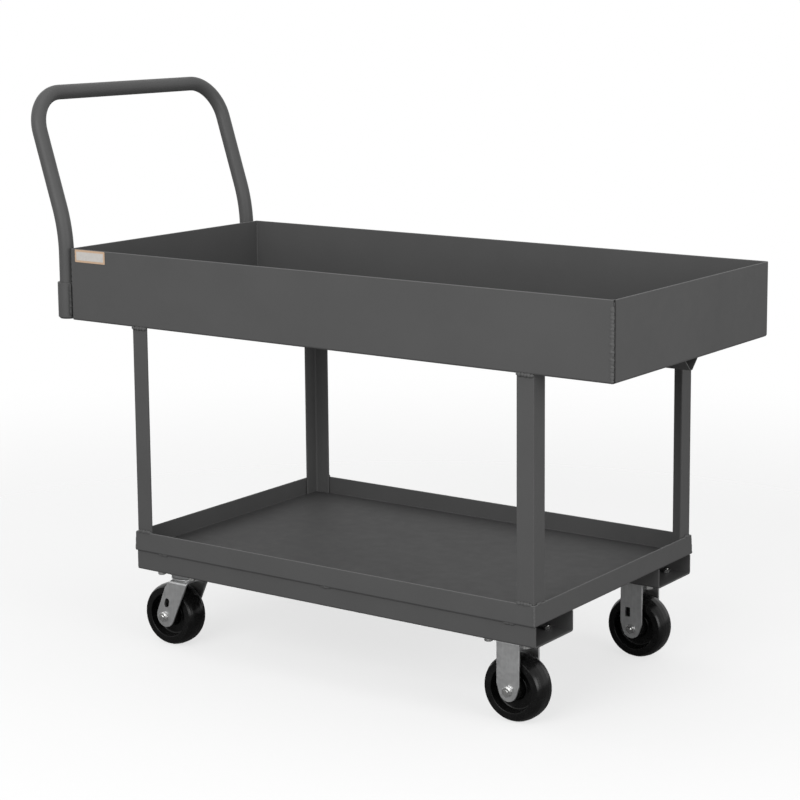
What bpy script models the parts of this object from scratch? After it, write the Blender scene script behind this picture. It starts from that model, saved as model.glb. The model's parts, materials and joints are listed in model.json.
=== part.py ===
"""Steel platform cart with a deep upper tray, a lower tray, four casters and a tube handle.

Metres, +Z up. The floor is z = 0 and +X points to the front, away from the handle.
Left and right are as seen by the person at the handle, so left is +Y.
"""

import math

import bmesh
import bpy
from mathutils import Vector

# Clearances
GAP = 0.0003

# Upper tray, a pan folded from one sheet
TRAY_LENGTH = 1.321
TRAY_WIDTH = 0.610
TRAY_DEPTH = 0.152
TRAY_SHEET = 0.003
TRAY_BEND = 0.005
TRAY_CORNER = 0.002

# Folded strip under the upper tray, on its centre line
STIFFENER_END_INSET = 0.003
STIFFENER_WIDTH = 0.053
STIFFENER_DEPTH = 0.022
STIFFENER_FOOT = 0.008
STIFFENER_SHEET = 0.002

# Angle-iron legs, placed by their outer faces: the tray overhangs them a lot at its ends and a
# little at its sides
LEG_LENGTH = 0.472
LEG_WIDTH = 0.038
LEG_THICKNESS = 0.004
TRAY_END_OVERHANG = 0.169
TRAY_SIDE_OVERHANG = 0.00325
LEG_SPREAD_LENGTH = TRAY_LENGTH - 2 * TRAY_END_OVERHANG
LEG_SPREAD_WIDTH = TRAY_WIDTH - 2 * TRAY_SIDE_OVERHANG

# Lower tray, whose lips lean in against the legs
SHELF_DEPTH = 0.042
SHELF_SHEET = 0.003
SHELF_LEAN = 0.0015
SHELF_BEND = 0.0045
SHELF_CORNER = 0.002

# Channels between the lower tray and the casters
CHANNEL_END_INSET = 0.0015
CHANNEL_WIDTH = 0.135
CHANNEL_DEPTH = 0.0406
CHANNEL_THICKNESS = 0.0035
CHANNEL_BEND = 0.005
CHANNEL_INSET = 0.005

# Caster plates, whose middles are set in from the channels' ends
FRONT_CASTER_INSET = 0.0813
REAR_CASTER_INSET = 0.0821
PLATE_LENGTH = 0.114
PLATE_WIDTH = 0.102
PLATE_THICKNESS = 0.004
PLATE_CORNER = 0.006
PLATE_BOLT_SPACING_LENGTH = 0.084
PLATE_BOLT_SPACING_WIDTH = 0.076
PLATE_BOLT_DIAMETER = 0.0095
PLATE_BOLT_ACROSS_FLATS = 0.0145
PLATE_BOLT_HEAD = 0.0062
PLATE_BOLT_NUT = 0.0080
PLATE_BOLT_TAIL = 0.0025

# Axle bolt, with the sleeve, the bearing and the wheel's hub round it
AXLE_DIAMETER = 0.0098
AXLE_ACROSS_FLATS = 0.0190
AXLE_HEAD = 0.0060
AXLE_NUT = 0.0060
AXLE_TAIL = 0.0016
SLEEVE_WALL = 0.004
SLEEVE_DIAMETER = AXLE_DIAMETER + 2 * (2 * GAP + SLEEVE_WALL)
BEARING_THICKNESS = 0.0057
BEARING_DIAMETER = SLEEVE_DIAMETER + 2 * (GAP + BEARING_THICKNESS)
WHEEL_HUB_WALL = 0.0057
WHEEL_HUB_DIAMETER = BEARING_DIAMETER + 2 * (GAP + WHEEL_HUB_WALL)

# Wheels
WHEEL_DIAMETER = 0.133
WHEEL_WIDTH = 0.052
WHEEL_CROWN = 0.0068
WHEEL_CROWN_STEPS = (1.0, 0.8, 0.55, 0.2)
WHEEL_FILLET = 0.0015
WHEEL_RIM_THICKNESS = 0.0205
WHEEL_RECESS_DRAFT = 0.0025
WHEEL_RIM_INNER_DIAMETER = WHEEL_DIAMETER - 2 * WHEEL_RIM_THICKNESS
WHEEL_WEB_OUTER_DIAMETER = WHEEL_RIM_INNER_DIAMETER - 2 * WHEEL_RECESS_DRAFT
WHEEL_WEB_THICKNESS = 0.015
WHEEL_HUB_REACH = 0.0025
WHEEL_HUB_WIDTH = WHEEL_WIDTH + 2 * WHEEL_HUB_REACH

# Forks, pressed from strip
FORK_CLEARANCE = 0.0065
FORK_SHEET = 0.0045
FORK_WIDTH = WHEEL_WIDTH + 2 * (FORK_CLEARANCE + FORK_SHEET)
FORK_BEND = 0.008
RIGID_LEG_WIDTH = 0.051
RIGID_TAPER_RISE = 0.0125
RIGID_END_RADIUS = 0.0205
RIGID_SLOT_WIDTH = 0.0115
RIGID_SLOT_LENGTH = 0.0205
RIGID_SLOT_CORNER = 0.0015
RIGID_SLOT_SHIFT = 0.008
RIGID_SLOT_RISE = 0.0345
SWIVEL_TRAIL = 0.0405
SWIVEL_FRONT_REACH = 0.026
SWIVEL_REAR_REACH = 0.0205
SWIVEL_SHOULDER_REACH = 0.0367
SWIVEL_SHOULDER_DROP = 0.019
SWIVEL_END_SHIFT = 0.0035
SWIVEL_END_RISE = 0.0015
SWIVEL_END_RADIUS = 0.0235
SWIVEL_SLOT_WIDTH = 0.0095
SWIVEL_SLOT_LENGTH = 0.018
SWIVEL_SLOT_SHIFT = 0.0084
SWIVEL_SLOT_RISE = 0.0312
SWIVEL_SLOT_LEAN = math.radians(12)

# Swivel head: an upper race pressed from the plate, a ball ring, and a lower race on the fork
BALL_RING_WIDTH = 0.006
BALL_RING_INNER_DIAMETER = 0.054
BALL_RING_OUTER_DIAMETER = BALL_RING_INNER_DIAMETER + 2 * BALL_RING_WIDTH
RACE_WALL = 0.0039
RACE_CUP_DIAMETER = BALL_RING_OUTER_DIAMETER + 2 * (GAP + RACE_WALL)
RACE_CUP_HEIGHT = 0.0045
RACE_SKIRT = 0.0035
RACE_DIAMETER = RACE_CUP_DIAMETER + 2 * RACE_SKIRT
RACE_CONE = 0.004
RACE_TAPER = 0.0012
RACE_HEIGHT = 0.0125
RACE_OPENING = 0.001
RACE_FLOOR = 0.0025
KINGPIN_DIAMETER = 0.0125
KINGPIN_HEAD_DIAMETER = 0.021
KINGPIN_HEAD = 0.0035
KINGPIN_NUT_ACROSS_FLATS = 0.0180
KINGPIN_NUT = 0.0065
KINGPIN_TAIL = 0.0015
WHEEL_CLEARANCE = 0.0040

# Handle tube and the sockets that it stands in
HANDLE_DIAMETER = 0.0318
HANDLE_WALL = 0.002
HANDLE_POST_INSET = 0.01135
HANDLE_POST_SPREAD = TRAY_WIDTH - 2 * HANDLE_POST_INSET
HANDLE_BEND_HEIGHT = 0.188
HANDLE_BEND_RADIUS = 0.330
HANDLE_LEAN = math.radians(17.8)
HANDLE_SLOPE_LENGTH = 0.2976
HANDLE_CORNER_RADIUS = 0.0835
SOCKET_WALL = 0.0049
SOCKET_DIAMETER = HANDLE_DIAMETER + 2 * (GAP + SOCKET_WALL)
SOCKET_HEIGHT = 0.0775
SOCKET_RISE = 0.0013
SOCKET_FLOOR = 0.003
SOCKET_CHAMFER = 0.004

# Bare label plate on the right side wall of the upper tray
LABEL_LENGTH = 0.0845
LABEL_HEIGHT = 0.0265
LABEL_THICKNESS = 0.0006
LABEL_END_DISTANCE = 0.0145
LABEL_TOP_DISTANCE = 0.0010

# Number of flats on round pieces
WHEEL_FACETS = 32
RACE_FACETS = 24
SMALL_FACETS = 16
HOLE_FACETS = 12
HEX_POINTS = 12
TUBE_FACETS = 14
BEND_STEPS = 4

# Colour, roughness and metallic value of each finish
ENAMEL = ((0.105, 0.107, 0.110), 0.42, 0.0)
ZINC = ((0.42, 0.43, 0.44), 0.38, 0.9)
BLACK_RESIN = ((0.012, 0.012, 0.013), 0.22, 0.0)
STEEL = ((0.30, 0.30, 0.31), 0.40, 0.9)
LABEL_STOCK = ((0.56, 0.45, 0.34), 0.55, 0.0)

# Swivel head heights, measured down from the underside of the plate
CUP_TOP = RACE_HEIGHT + RACE_OPENING
CUP_BOTTOM = CUP_TOP + RACE_CUP_HEIGHT
CROWN_BOTTOM = CUP_BOTTOM - GAP + FORK_SHEET

# Heights of the stack, from the floor up: the kingpin's end clears the wheel, and the plate caps it
KINGPIN_REACH = CROWN_BOTTOM + GAP + KINGPIN_NUT + KINGPIN_TAIL
AXLE_Z = WHEEL_DIAMETER / 2
CASTER_HEIGHT = WHEEL_DIAMETER + WHEEL_CLEARANCE + KINGPIN_REACH + PLATE_THICKNESS
PLATE_BOTTOM_Z = CASTER_HEIGHT - PLATE_THICKNESS
CHANNEL_Z = CASTER_HEIGHT + GAP
SHELF_Z = CHANNEL_Z + CHANNEL_DEPTH + GAP
LEG_Z = SHELF_Z + SHELF_SHEET + GAP
DECK_Z = LEG_Z + LEG_LENGTH + GAP

# Plan sizes that follow from the legs
SHELF_TOP_LENGTH = LEG_SPREAD_LENGTH + 2 * (GAP + SHELF_SHEET)
SHELF_TOP_WIDTH = LEG_SPREAD_WIDTH + 2 * (GAP + SHELF_SHEET)
SHELF_FOOT_LENGTH = SHELF_TOP_LENGTH + 2 * SHELF_LEAN
SHELF_FOOT_WIDTH = SHELF_TOP_WIDTH + 2 * SHELF_LEAN
CHANNEL_LENGTH = SHELF_FOOT_LENGTH - 2 * CHANNEL_END_INSET
CASTER_FRONT_X = CHANNEL_LENGTH / 2 - FRONT_CASTER_INSET
CASTER_REAR_X = REAR_CASTER_INSET - CHANNEL_LENGTH / 2
CASTER_Y = SHELF_FOOT_WIDTH / 2 - CHANNEL_INSET - CHANNEL_WIDTH / 2

# The handle posts stand in sockets against the rear end wall of the upper tray
POST_X = -(TRAY_LENGTH / 2 + GAP + SOCKET_DIAMETER / 2)
POST_FOOT_Z = SOCKET_RISE + SOCKET_FLOOR + GAP
CROSSBAR_X = POST_X - HANDLE_SLOPE_LENGTH * math.sin(HANDLE_LEAN)

# The middle of the whole length, handle and tray, stands over the origin
REAR_REACH = CROSSBAR_X - HANDLE_DIAMETER / 2
TRAY_X = -(TRAY_LENGTH / 2 + REAR_REACH) / 2

SIDES = {"left": 1, "right": -1}
ENDS = {"front": 1, "rear": -1}


# Shapes

def skin(loops, closed=False):
    """Mesh through loops with equal numbers of points.

    A closed skin runs round from the last loop to the first. An open one gets a face at each end.
    """
    shape = bmesh.new()
    rows = [[shape.verts.new(point) for point in loop] for loop in loops]
    count = len(rows[0])
    pairs = list(zip(rows, rows[1:]))
    if closed:
        pairs.append((rows[-1], rows[0]))
    for low, high in pairs:
        for i in range(count):
            j = (i + 1) % count
            shape.faces.new((low[i], low[j], high[j], high[i]))
    if not closed:
        shape.faces.new(rows[0])
        shape.faces.new(rows[-1])
    bmesh.ops.recalc_face_normals(shape, faces=shape.faces)
    mesh = bpy.data.meshes.new("shape")
    shape.to_mesh(mesh)
    shape.free()
    return mesh


def prism(outline, axis, start, end):
    """Solid with a flat outline carried along one axis, the outline in the other two in order."""
    loops = []
    for level in (start, end):
        loop = []
        for a, b in outline:
            point = [a, b]
            point.insert("XYZ".index(axis), level)
            loop.append(tuple(point))
        loops.append(loop)
    return skin(loops)


def circle(radius, facets, outside=False, turn=0.0):
    """Points of a regular polygon; an outside one has its flats, not its corners, on the radius."""
    reach = radius / math.cos(math.pi / facets) if outside else radius
    step = 2 * math.pi / facets
    return [(reach * math.cos(turn + i * step), reach * math.sin(turn + i * step)) for i in range(facets)]


def hexagon(across_flats, points=HEX_POINTS):
    """Hexagon with corners at 0 and every 60 degrees; extra points lie on its flats."""
    outline = []
    for i in range(points):
        angle = 2 * math.pi * i / points
        off_flat = math.radians(math.degrees(angle) % 60 - 30)
        reach = across_flats / 2 / math.cos(off_flat)
        outline.append((reach * math.cos(angle), reach * math.sin(angle)))
    return outline


def rounded_rectangle(length, width, radius, steps=2, centre=(0.0, 0.0)):
    """Rectangle with round corners."""
    outline = []
    for quarter in range(4):
        sign_x = 1 if quarter in (0, 3) else -1
        sign_y = 1 if quarter in (0, 1) else -1
        for i in range(steps + 1):
            angle = math.pi / 2 * (quarter + i / steps)
            x = sign_x * (length / 2 - radius) + radius * math.cos(angle)
            y = sign_y * (width / 2 - radius) + radius * math.sin(angle)
            outline.append((centre[0] + x, centre[1] + y))
    return outline


def slot(centre_x, centre_z, width, length, lean=0.0, steps=5):
    """Round-ended slot in X and Z, upright unless it leans."""
    outline = []
    straight = (length - width) / 2
    for end in (0, 1):
        for i in range(steps + 1):
            angle = math.pi * (end + i / steps)
            x = width / 2 * math.cos(angle)
            z = width / 2 * math.sin(angle) + (straight if end == 0 else -straight)
            outline.append((centre_x + x * math.cos(lean) - z * math.sin(lean),
                            centre_z + x * math.sin(lean) + z * math.cos(lean)))
    return outline


def turned(profile, facets, outside=False, axis="Z"):
    """Solid ring turned from a closed profile of (radius, height) about an axis."""
    turn = math.pi / facets - math.pi / 2
    spokes = circle(1.0, facets, outside, turn)
    loops = []
    for a, b in spokes:
        loop = []
        for radius, height in profile:
            point = [radius * a, radius * b]
            point.insert("XYZ".index(axis), height)
            loop.append(tuple(point))
        loops.append(loop)
    return skin(loops, closed=True)


def stack(levels, axis="Z"):
    """Solid through outlines at rising heights, given as (height, outline) pairs."""
    loops = []
    for height, outline in levels:
        loop = []
        for a, b in outline:
            point = [a, b]
            point.insert("XYZ".index(axis), height)
            loop.append(tuple(point))
        loops.append(loop)
    return skin(loops)


def swept(path, radius, facets):
    """Loops of a round tube along a path, without twist."""
    loops = []
    side = Vector((0.0, 1.0, 0.0))
    for i, point in enumerate(path):
        ahead = path[min(i + 1, len(path) - 1)]
        behind = path[max(i - 1, 0)]
        along = (ahead - behind).normalized()
        side = (side - along * side.dot(along)).normalized()
        up = along.cross(side)
        loops.append([tuple(point + side * a + up * b) for a, b in circle(radius, facets)])
    return loops


# Objects

def add(name, mesh, finish, parent=None, location=(0.0, 0.0, 0.0), turn=0.0, smooth=False):
    """Put a mesh in the scene as a named sub-part with its own material."""
    obj = bpy.data.objects.new(name, mesh)
    mesh.name = name
    bpy.context.scene.collection.objects.link(obj)
    obj.parent = parent
    obj.location = location
    obj.rotation_euler = (0.0, 0.0, turn)
    colour, roughness, metallic = finish
    material = bpy.data.materials.new(name)
    material.use_nodes = True
    shader = material.node_tree.nodes["Principled BSDF"]
    shader.inputs["Base Color"].default_value = (*colour, 1.0)
    shader.inputs["Roughness"].default_value = roughness
    shader.inputs["Metallic"].default_value = metallic
    mesh.materials.append(material)
    if smooth:
        mesh.shade_smooth()
        mesh.set_sharp_from_angle(angle=math.radians(40))
    return obj


def axis_point(name, location, parent=None):
    """Empty that marks a joint axis or the middle of a group of pieces."""
    empty = bpy.data.objects.new(name, None)
    bpy.context.scene.collection.objects.link(empty)
    empty.parent = parent
    empty.location = location
    return empty


def combine(obj, operation, tool_mesh):
    """Boolean with a hidden tool that shares the object's place."""
    tool = bpy.data.objects.new(obj.name + "_tool", tool_mesh)
    bpy.context.scene.collection.objects.link(tool)
    tool.parent = obj
    tool.hide_render = True
    tool.display_type = "WIRE"
    boolean = obj.modifiers.new(operation.lower(), "BOOLEAN")
    boolean.operation = operation
    boolean.solver = "EXACT"
    boolean.object = tool


def joined(meshes):
    """One mesh with several separate shapes in it, for a tool that cuts in several places."""
    shape = bmesh.new()
    for mesh in meshes:
        shape.from_mesh(mesh)
    result = bpy.data.meshes.new("tool")
    shape.to_mesh(result)
    shape.free()
    return result


def hole(diameter, x, y, low, high):
    """Upright cutter for a clearance hole."""
    outline = [(x + a, y + b) for a, b in circle(diameter / 2, HOLE_FACETS, outside=True)]
    return prism(outline, "Z", low, high)


# Trays

def pan(length, width, depth, sheet, bend, corner, lean=0.0, steps=3):
    """Open folded pan on z = 0, its size taken at the rim; leaning walls spread towards the foot."""
    full_length = length + 2 * lean
    full_width = width + 2 * lean

    def outline(inset):
        radius = max(corner - inset, corner / 4)
        return rounded_rectangle(full_length - 2 * inset, full_width - 2 * inset, radius)

    outside = []
    inside = []
    inner_bend = bend - sheet
    for i in range(steps + 1):
        angle = math.pi / 2 * i / steps
        outside.append((bend * (1 - math.cos(angle)), outline(bend * (1 - math.sin(angle)))))
        inside.append((sheet + inner_bend * (1 - math.cos(angle)),
                       outline(sheet + inner_bend * (1 - math.sin(angle)))))
    outside.append((depth, outline(lean)))
    inside.append((depth, outline(lean + sheet)))
    return stack(outside + inside[::-1])


def build_trays(cart):
    upper = pan(TRAY_LENGTH, TRAY_WIDTH, TRAY_DEPTH, TRAY_SHEET, TRAY_BEND, TRAY_CORNER)
    add("upper_tray", upper, ENAMEL, cart, (0, 0, DECK_Z))
    lower = pan(SHELF_TOP_LENGTH, SHELF_TOP_WIDTH, SHELF_DEPTH, SHELF_SHEET, SHELF_BEND, SHELF_CORNER,
                SHELF_LEAN)
    add("lower_tray", lower, ENAMEL, cart, (0, 0, SHELF_Z))


def build_stiffener(cart):
    """A strip folded to a V with a narrow foot, its open side against the tray."""
    slope = (STIFFENER_WIDTH - STIFFENER_FOOT) / 2
    wall = STIFFENER_SHEET * math.hypot(slope, STIFFENER_DEPTH) / STIFFENER_DEPTH
    half_top = STIFFENER_WIDTH / 2
    half_foot = STIFFENER_FOOT / 2
    half_floor = half_foot + slope * STIFFENER_SHEET / STIFFENER_DEPTH - wall
    floor = STIFFENER_SHEET - STIFFENER_DEPTH
    right = [(half_foot, -STIFFENER_DEPTH), (half_top, 0), (half_top - wall, 0), (half_floor, floor)]
    left = [(-y, z) for y, z in right[::-1]]
    half = TRAY_LENGTH / 2 - TRAY_BEND - STIFFENER_END_INSET
    add("deck_stiffener", prism(right + left, "X", -half, half), ENAMEL, cart, (0, 0, DECK_Z - GAP))


def build_label(cart):
    """Thin bare plate near the top rear corner of the right side wall."""
    left = -TRAY_LENGTH / 2 + LABEL_END_DISTANCE
    top = TRAY_DEPTH - LABEL_TOP_DISTANCE
    outline = [(left, top - LABEL_HEIGHT), (left + LABEL_LENGTH, top - LABEL_HEIGHT),
               (left + LABEL_LENGTH, top), (left, top)]
    face = -TRAY_WIDTH / 2 - GAP
    add("label_plate", prism(outline, "Y", face - LABEL_THICKNESS, face), LABEL_STOCK, cart, (0, 0, DECK_Z))


# Legs and channels

def build_legs(cart):
    """Angle irons with their corners outwards."""
    w = LEG_WIDTH
    t = LEG_THICKNESS
    for end, end_sign in ENDS.items():
        for side, side_sign in SIDES.items():
            angle = [(0, 0), (-w, 0), (-w, -t), (-t, -t), (-t, -w), (0, -w)]
            outline = [(end_sign * x, side_sign * y) for x, y in angle]
            corner = (end_sign * LEG_SPREAD_LENGTH / 2, side_sign * LEG_SPREAD_WIDTH / 2, LEG_Z)
            add(f"leg_{end}_{side}", prism(outline, "Z", 0, LEG_LENGTH), ENAMEL, cart, corner)


def channel_outline():
    """Channel open upwards, in Y and Z, with bent lower corners."""
    half = CHANNEL_WIDTH / 2
    inner_bend = CHANNEL_BEND - CHANNEL_THICKNESS
    outer = [(half, CHANNEL_DEPTH)]
    inner = [(half - CHANNEL_THICKNESS, CHANNEL_DEPTH)]
    for i in range(BEND_STEPS + 1):
        angle = math.pi / 2 * i / BEND_STEPS
        y = math.cos(angle)
        z = 1 - math.sin(angle)
        outer.append((half - CHANNEL_BEND + CHANNEL_BEND * y, CHANNEL_BEND * z))
        inner.append((half - CHANNEL_BEND + inner_bend * y, CHANNEL_THICKNESS + inner_bend * z))
    outer_left = [(-y, z) for y, z in outer[::-1]]
    inner_left = [(-y, z) for y, z in inner[::-1]]
    return outer + outer_left + inner_left[::-1] + inner[::-1]


def plate_bolt_places():
    """Centres of the four plate bolts about the caster's middle."""
    x = PLATE_BOLT_SPACING_LENGTH / 2
    y = PLATE_BOLT_SPACING_WIDTH / 2
    return [(x, y), (-x, y), (-x, -y), (x, -y)]


def build_channels(cart):
    for side, sign in SIDES.items():
        half = CHANNEL_LENGTH / 2
        place = (0, sign * CASTER_Y, CHANNEL_Z)
        solid = prism(channel_outline(), "X", -half, half)
        channel = add(f"caster_channel_{side}", solid, ENAMEL, cart, place)
        cuts = []
        for caster_x in (CASTER_FRONT_X, CASTER_REAR_X):
            for x, y in plate_bolt_places():
                cuts.append(hole(PLATE_BOLT_DIAMETER + 2 * GAP, caster_x + x, y,
                                 -CHANNEL_THICKNESS, 2 * CHANNEL_THICKNESS))
        combine(channel, "DIFFERENCE", joined(cuts))


# Casters

def build_plate_bolts(name, caster):
    """Four bolts up through the caster plate and the channel, each with its nut tightened on."""
    radius = PLATE_BOLT_DIAMETER / 2
    head = hexagon(PLATE_BOLT_ACROSS_FLATS, 6)
    shank = circle(radius, 6)
    head_top = -PLATE_THICKNESS - GAP
    nut_bottom = GAP + CHANNEL_THICKNESS + GAP
    nut_top = nut_bottom + PLATE_BOLT_NUT
    levels = [(head_top - PLATE_BOLT_HEAD, head), (head_top, head), (head_top, shank),
              (nut_bottom, shank), (nut_bottom, head), (nut_top, head), (nut_top, shank),
              (nut_top + PLATE_BOLT_TAIL, shank)]
    for number, (x, y) in enumerate(plate_bolt_places(), 1):
        place = (x, y, CASTER_HEIGHT)
        add(f"plate_bolt_{name}_{number}", stack(levels), ZINC, caster, place, smooth=True)


def plate_hole_tools(low, high):
    return [hole(PLATE_BOLT_DIAMETER + 2 * GAP, x, y, low, high) for x, y in plate_bolt_places()]


def plate_solid():
    """Caster plate, its upper face at z = 0."""
    outline = rounded_rectangle(PLATE_LENGTH, PLATE_WIDTH, PLATE_CORNER)
    return prism(outline, "Z", -PLATE_THICKNESS, 0)


def yoke(top, bottom, reach):
    """Bent strip over the wheel: an upturned U in Y and Z, carried along X."""
    half = FORK_WIDTH / 2
    inner_bend = FORK_BEND - FORK_SHEET
    outer = [(half, bottom)]
    inner = [(half - FORK_SHEET, bottom)]
    for i in range(BEND_STEPS + 1):
        angle = math.pi / 2 * i / BEND_STEPS
        y = math.cos(angle)
        z = math.sin(angle) - 1
        outer.append((half - FORK_BEND + FORK_BEND * y, top + FORK_BEND * z))
        inner.append((half - FORK_BEND + inner_bend * y, top - FORK_SHEET + inner_bend * z))
    outer_left = [(-y, z) for y, z in outer[::-1]]
    inner_left = [(-y, z) for y, z in inner[::-1]]
    return prism(outer + outer_left + inner_left[::-1] + inner[::-1], "X", -reach, reach)


def fork_side(front, rear, end_x, end_z, radius, steps=8):
    """Side view of a fork leg: straight edges from the corners, tangent to its round end.

    The front corners run down and the rear ones up.
    """
    def touch(corner, sign):
        dx = corner[0] - end_x
        dz = corner[1] - end_z
        return math.atan2(dz, dx) + sign * math.acos(radius / math.hypot(dx, dz))

    start = touch(front[-1], -1)
    end = touch(rear[0], 1) - 2 * math.pi
    arc = []
    for i in range(steps + 1):
        angle = start + (end - start) * i / steps
        arc.append((end_x + radius * math.cos(angle), end_z + radius * math.sin(angle)))
    return front + arc + rear


def leg_tool(outline):
    """A fork leg's side view as a solid that is wider than the fork."""
    return prism(outline, "Y", -FORK_WIDTH, FORK_WIDTH)


def axle_hole_tool(axle_x, axle_z):
    radius = AXLE_DIAMETER / 2 + GAP
    outline = [(axle_x + a, axle_z + b) for a, b in circle(radius, HOLE_FACETS, outside=True)]
    return prism(outline, "Y", -FORK_WIDTH, FORK_WIDTH)


def right_leg_tool(outline):
    """Cutter through the fork leg at -Y only."""
    return prism(outline, "Y", -FORK_WIDTH, -FORK_WIDTH / 4)


def build_rigid_fork(side, caster):
    """Fork and plate welded into one, with a slot in the leg that faces the middle of the cart."""
    turn = 0.0 if side == "left" else math.pi
    top = PLATE_BOTTOM_Z + PLATE_THICKNESS / 4
    bottom = AXLE_Z - RIGID_END_RADIUS - FORK_SHEET
    name = f"rigid_fork_{side}"
    fork = add(name, yoke(top, bottom, RIGID_LEG_WIDTH), ZINC, caster, (0, 0, 0), turn)
    half = RIGID_LEG_WIDTH / 2
    above = CASTER_HEIGHT + FORK_SHEET
    shoulder = AXLE_Z + RIGID_TAPER_RISE
    front = [(half, above), (half, shoulder)]
    rear = [(-half, shoulder), (-half, above)]
    combine(fork, "INTERSECT", leg_tool(fork_side(front, rear, 0, AXLE_Z, RIGID_END_RADIUS)))
    plate = plate_solid()
    for vertex in plate.vertices:
        vertex.co.z += CASTER_HEIGHT
    combine(fork, "UNION", plate)
    cuts = plate_hole_tools(PLATE_BOTTOM_Z - PLATE_THICKNESS, CASTER_HEIGHT + PLATE_THICKNESS)
    cuts.append(axle_hole_tool(0, AXLE_Z))
    opening = rounded_rectangle(RIGID_SLOT_WIDTH, RIGID_SLOT_LENGTH, RIGID_SLOT_CORNER,
                                centre=(-RIGID_SLOT_SHIFT, AXLE_Z + RIGID_SLOT_RISE))
    cuts.append(right_leg_tool(opening))
    combine(fork, "DIFFERENCE", joined(cuts))


def build_swivel_plate(side, caster):
    """Top plate with the upper race pressed down from it and a seat for the kingpin's head."""
    plate = add(f"swivel_plate_{side}", plate_solid(), ZINC, caster, (0, 0, CASTER_HEIGHT))
    pin = KINGPIN_DIAMETER / 2 + GAP
    outer = RACE_DIAMETER / 2
    groove_in = BALL_RING_INNER_DIAMETER / 2 - GAP
    groove_out = BALL_RING_OUTER_DIAMETER / 2 + GAP
    under = -PLATE_THICKNESS
    roof = under - RACE_FLOOR
    low = under - RACE_HEIGHT
    race = [(pin, -PLATE_THICKNESS / 2), (outer, -PLATE_THICKNESS / 2), (outer, under - RACE_TAPER),
            (outer - RACE_CONE, low), (groove_out, low), (groove_out, roof), (groove_in, roof),
            (groove_in, low), (pin, low)]
    combine(plate, "UNION", turned(race, RACE_FACETS, outside=True))
    seat = -KINGPIN_HEAD - GAP
    head = circle(KINGPIN_HEAD_DIAMETER / 2 + GAP, RACE_FACETS, outside=True)
    stem = circle(pin, RACE_FACETS, outside=True)
    step_cut = stack([(low - RACE_HEIGHT, stem), (seat, stem), (seat, head), (PLATE_THICKNESS, head)])
    bolt_cuts = plate_hole_tools(-2 * PLATE_THICKNESS, PLATE_THICKNESS)
    combine(plate, "DIFFERENCE", joined([step_cut] + bolt_cuts))


def build_ball_ring(side, caster):
    """Caged balls between the races, drawn as one round-edged ring."""
    inner = BALL_RING_INNER_DIAMETER / 2
    outer = BALL_RING_OUTER_DIAMETER / 2
    edge = (outer - inner) / 4
    high = -RACE_FLOOR - GAP
    low = -(CUP_BOTTOM - RACE_FLOOR) + GAP
    right = [(outer - edge, low), (outer, low + edge), (outer, high - edge), (outer - edge, high)]
    left = [(inner + edge, high), (inner, high - edge), (inner, low + edge), (inner + edge, low)]
    profile = right + left
    ring = turned(profile, RACE_FACETS)
    add(f"swivel_balls_{side}", ring, STEEL, caster, (0, 0, PLATE_BOTTOM_Z), smooth=True)


def build_kingpin(side, caster):
    """Pin with a flush head in the plate and a nut under the fork's crown."""
    head = circle(KINGPIN_HEAD_DIAMETER / 2, HEX_POINTS)
    shank = circle(KINGPIN_DIAMETER / 2, HEX_POINTS)
    nut = hexagon(KINGPIN_NUT_ACROSS_FLATS)
    head_top = PLATE_THICKNESS - GAP
    seat = PLATE_THICKNESS - KINGPIN_HEAD
    nut_top = -CROWN_BOTTOM - GAP
    nut_bottom = nut_top - KINGPIN_NUT
    levels = [(nut_bottom - KINGPIN_TAIL, shank), (nut_bottom, shank), (nut_bottom, nut), (nut_top, nut),
              (nut_top, shank), (seat, shank), (seat, head), (head_top, head)]
    add(f"kingpin_{side}", stack(levels), ZINC, caster, (0, 0, PLATE_BOTTOM_Z), smooth=True)


def build_swivel_fork(side, swivel):
    """Raked fork under the lower race, turning about the kingpin."""
    crown = PLATE_BOTTOM_Z - CUP_BOTTOM
    top = crown + GAP
    bottom = AXLE_Z - SWIVEL_END_RADIUS - FORK_SHEET
    name = f"swivel_fork_{side}"
    fork = add(name, yoke(top, bottom, 2 * SWIVEL_TRAIL), ZINC, swivel)
    above = top + FORK_SHEET
    front = [(SWIVEL_FRONT_REACH, above), (SWIVEL_FRONT_REACH, crown)]
    rear = [(-SWIVEL_SHOULDER_REACH, crown - SWIVEL_SHOULDER_DROP), (-SWIVEL_REAR_REACH, crown),
            (-SWIVEL_REAR_REACH, above)]
    end_x = SWIVEL_END_SHIFT - SWIVEL_TRAIL
    outline = fork_side(front, rear, end_x, AXLE_Z + SWIVEL_END_RISE, SWIVEL_END_RADIUS)
    combine(fork, "INTERSECT", leg_tool(outline))
    pin = KINGPIN_DIAMETER / 2 + GAP
    cup = RACE_CUP_DIAMETER / 2
    groove_in = BALL_RING_INNER_DIAMETER / 2 - GAP
    groove_out = BALL_RING_OUTER_DIAMETER / 2 + GAP
    rim = PLATE_BOTTOM_Z - CUP_TOP
    floor = crown + RACE_FLOOR
    race = [(pin, crown), (cup - RACE_TAPER, crown), (cup, rim), (groove_out, rim), (groove_out, floor),
            (groove_in, floor), (groove_in, rim), (pin, rim)]
    combine(fork, "UNION", turned(race, RACE_FACETS, outside=True))
    stem = circle(pin, RACE_FACETS, outside=True)
    pin_hole = stack([(crown - 2 * FORK_SHEET, stem), (crown + FORK_SHEET, stem)])
    opening = slot(SWIVEL_SLOT_SHIFT - SWIVEL_TRAIL, AXLE_Z + SWIVEL_SLOT_RISE, SWIVEL_SLOT_WIDTH,
                   SWIVEL_SLOT_LENGTH, -SWIVEL_SLOT_LEAN)
    cuts = [pin_hole, axle_hole_tool(-SWIVEL_TRAIL, AXLE_Z), right_leg_tool(opening)]
    combine(fork, "DIFFERENCE", joined(cuts))


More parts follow.
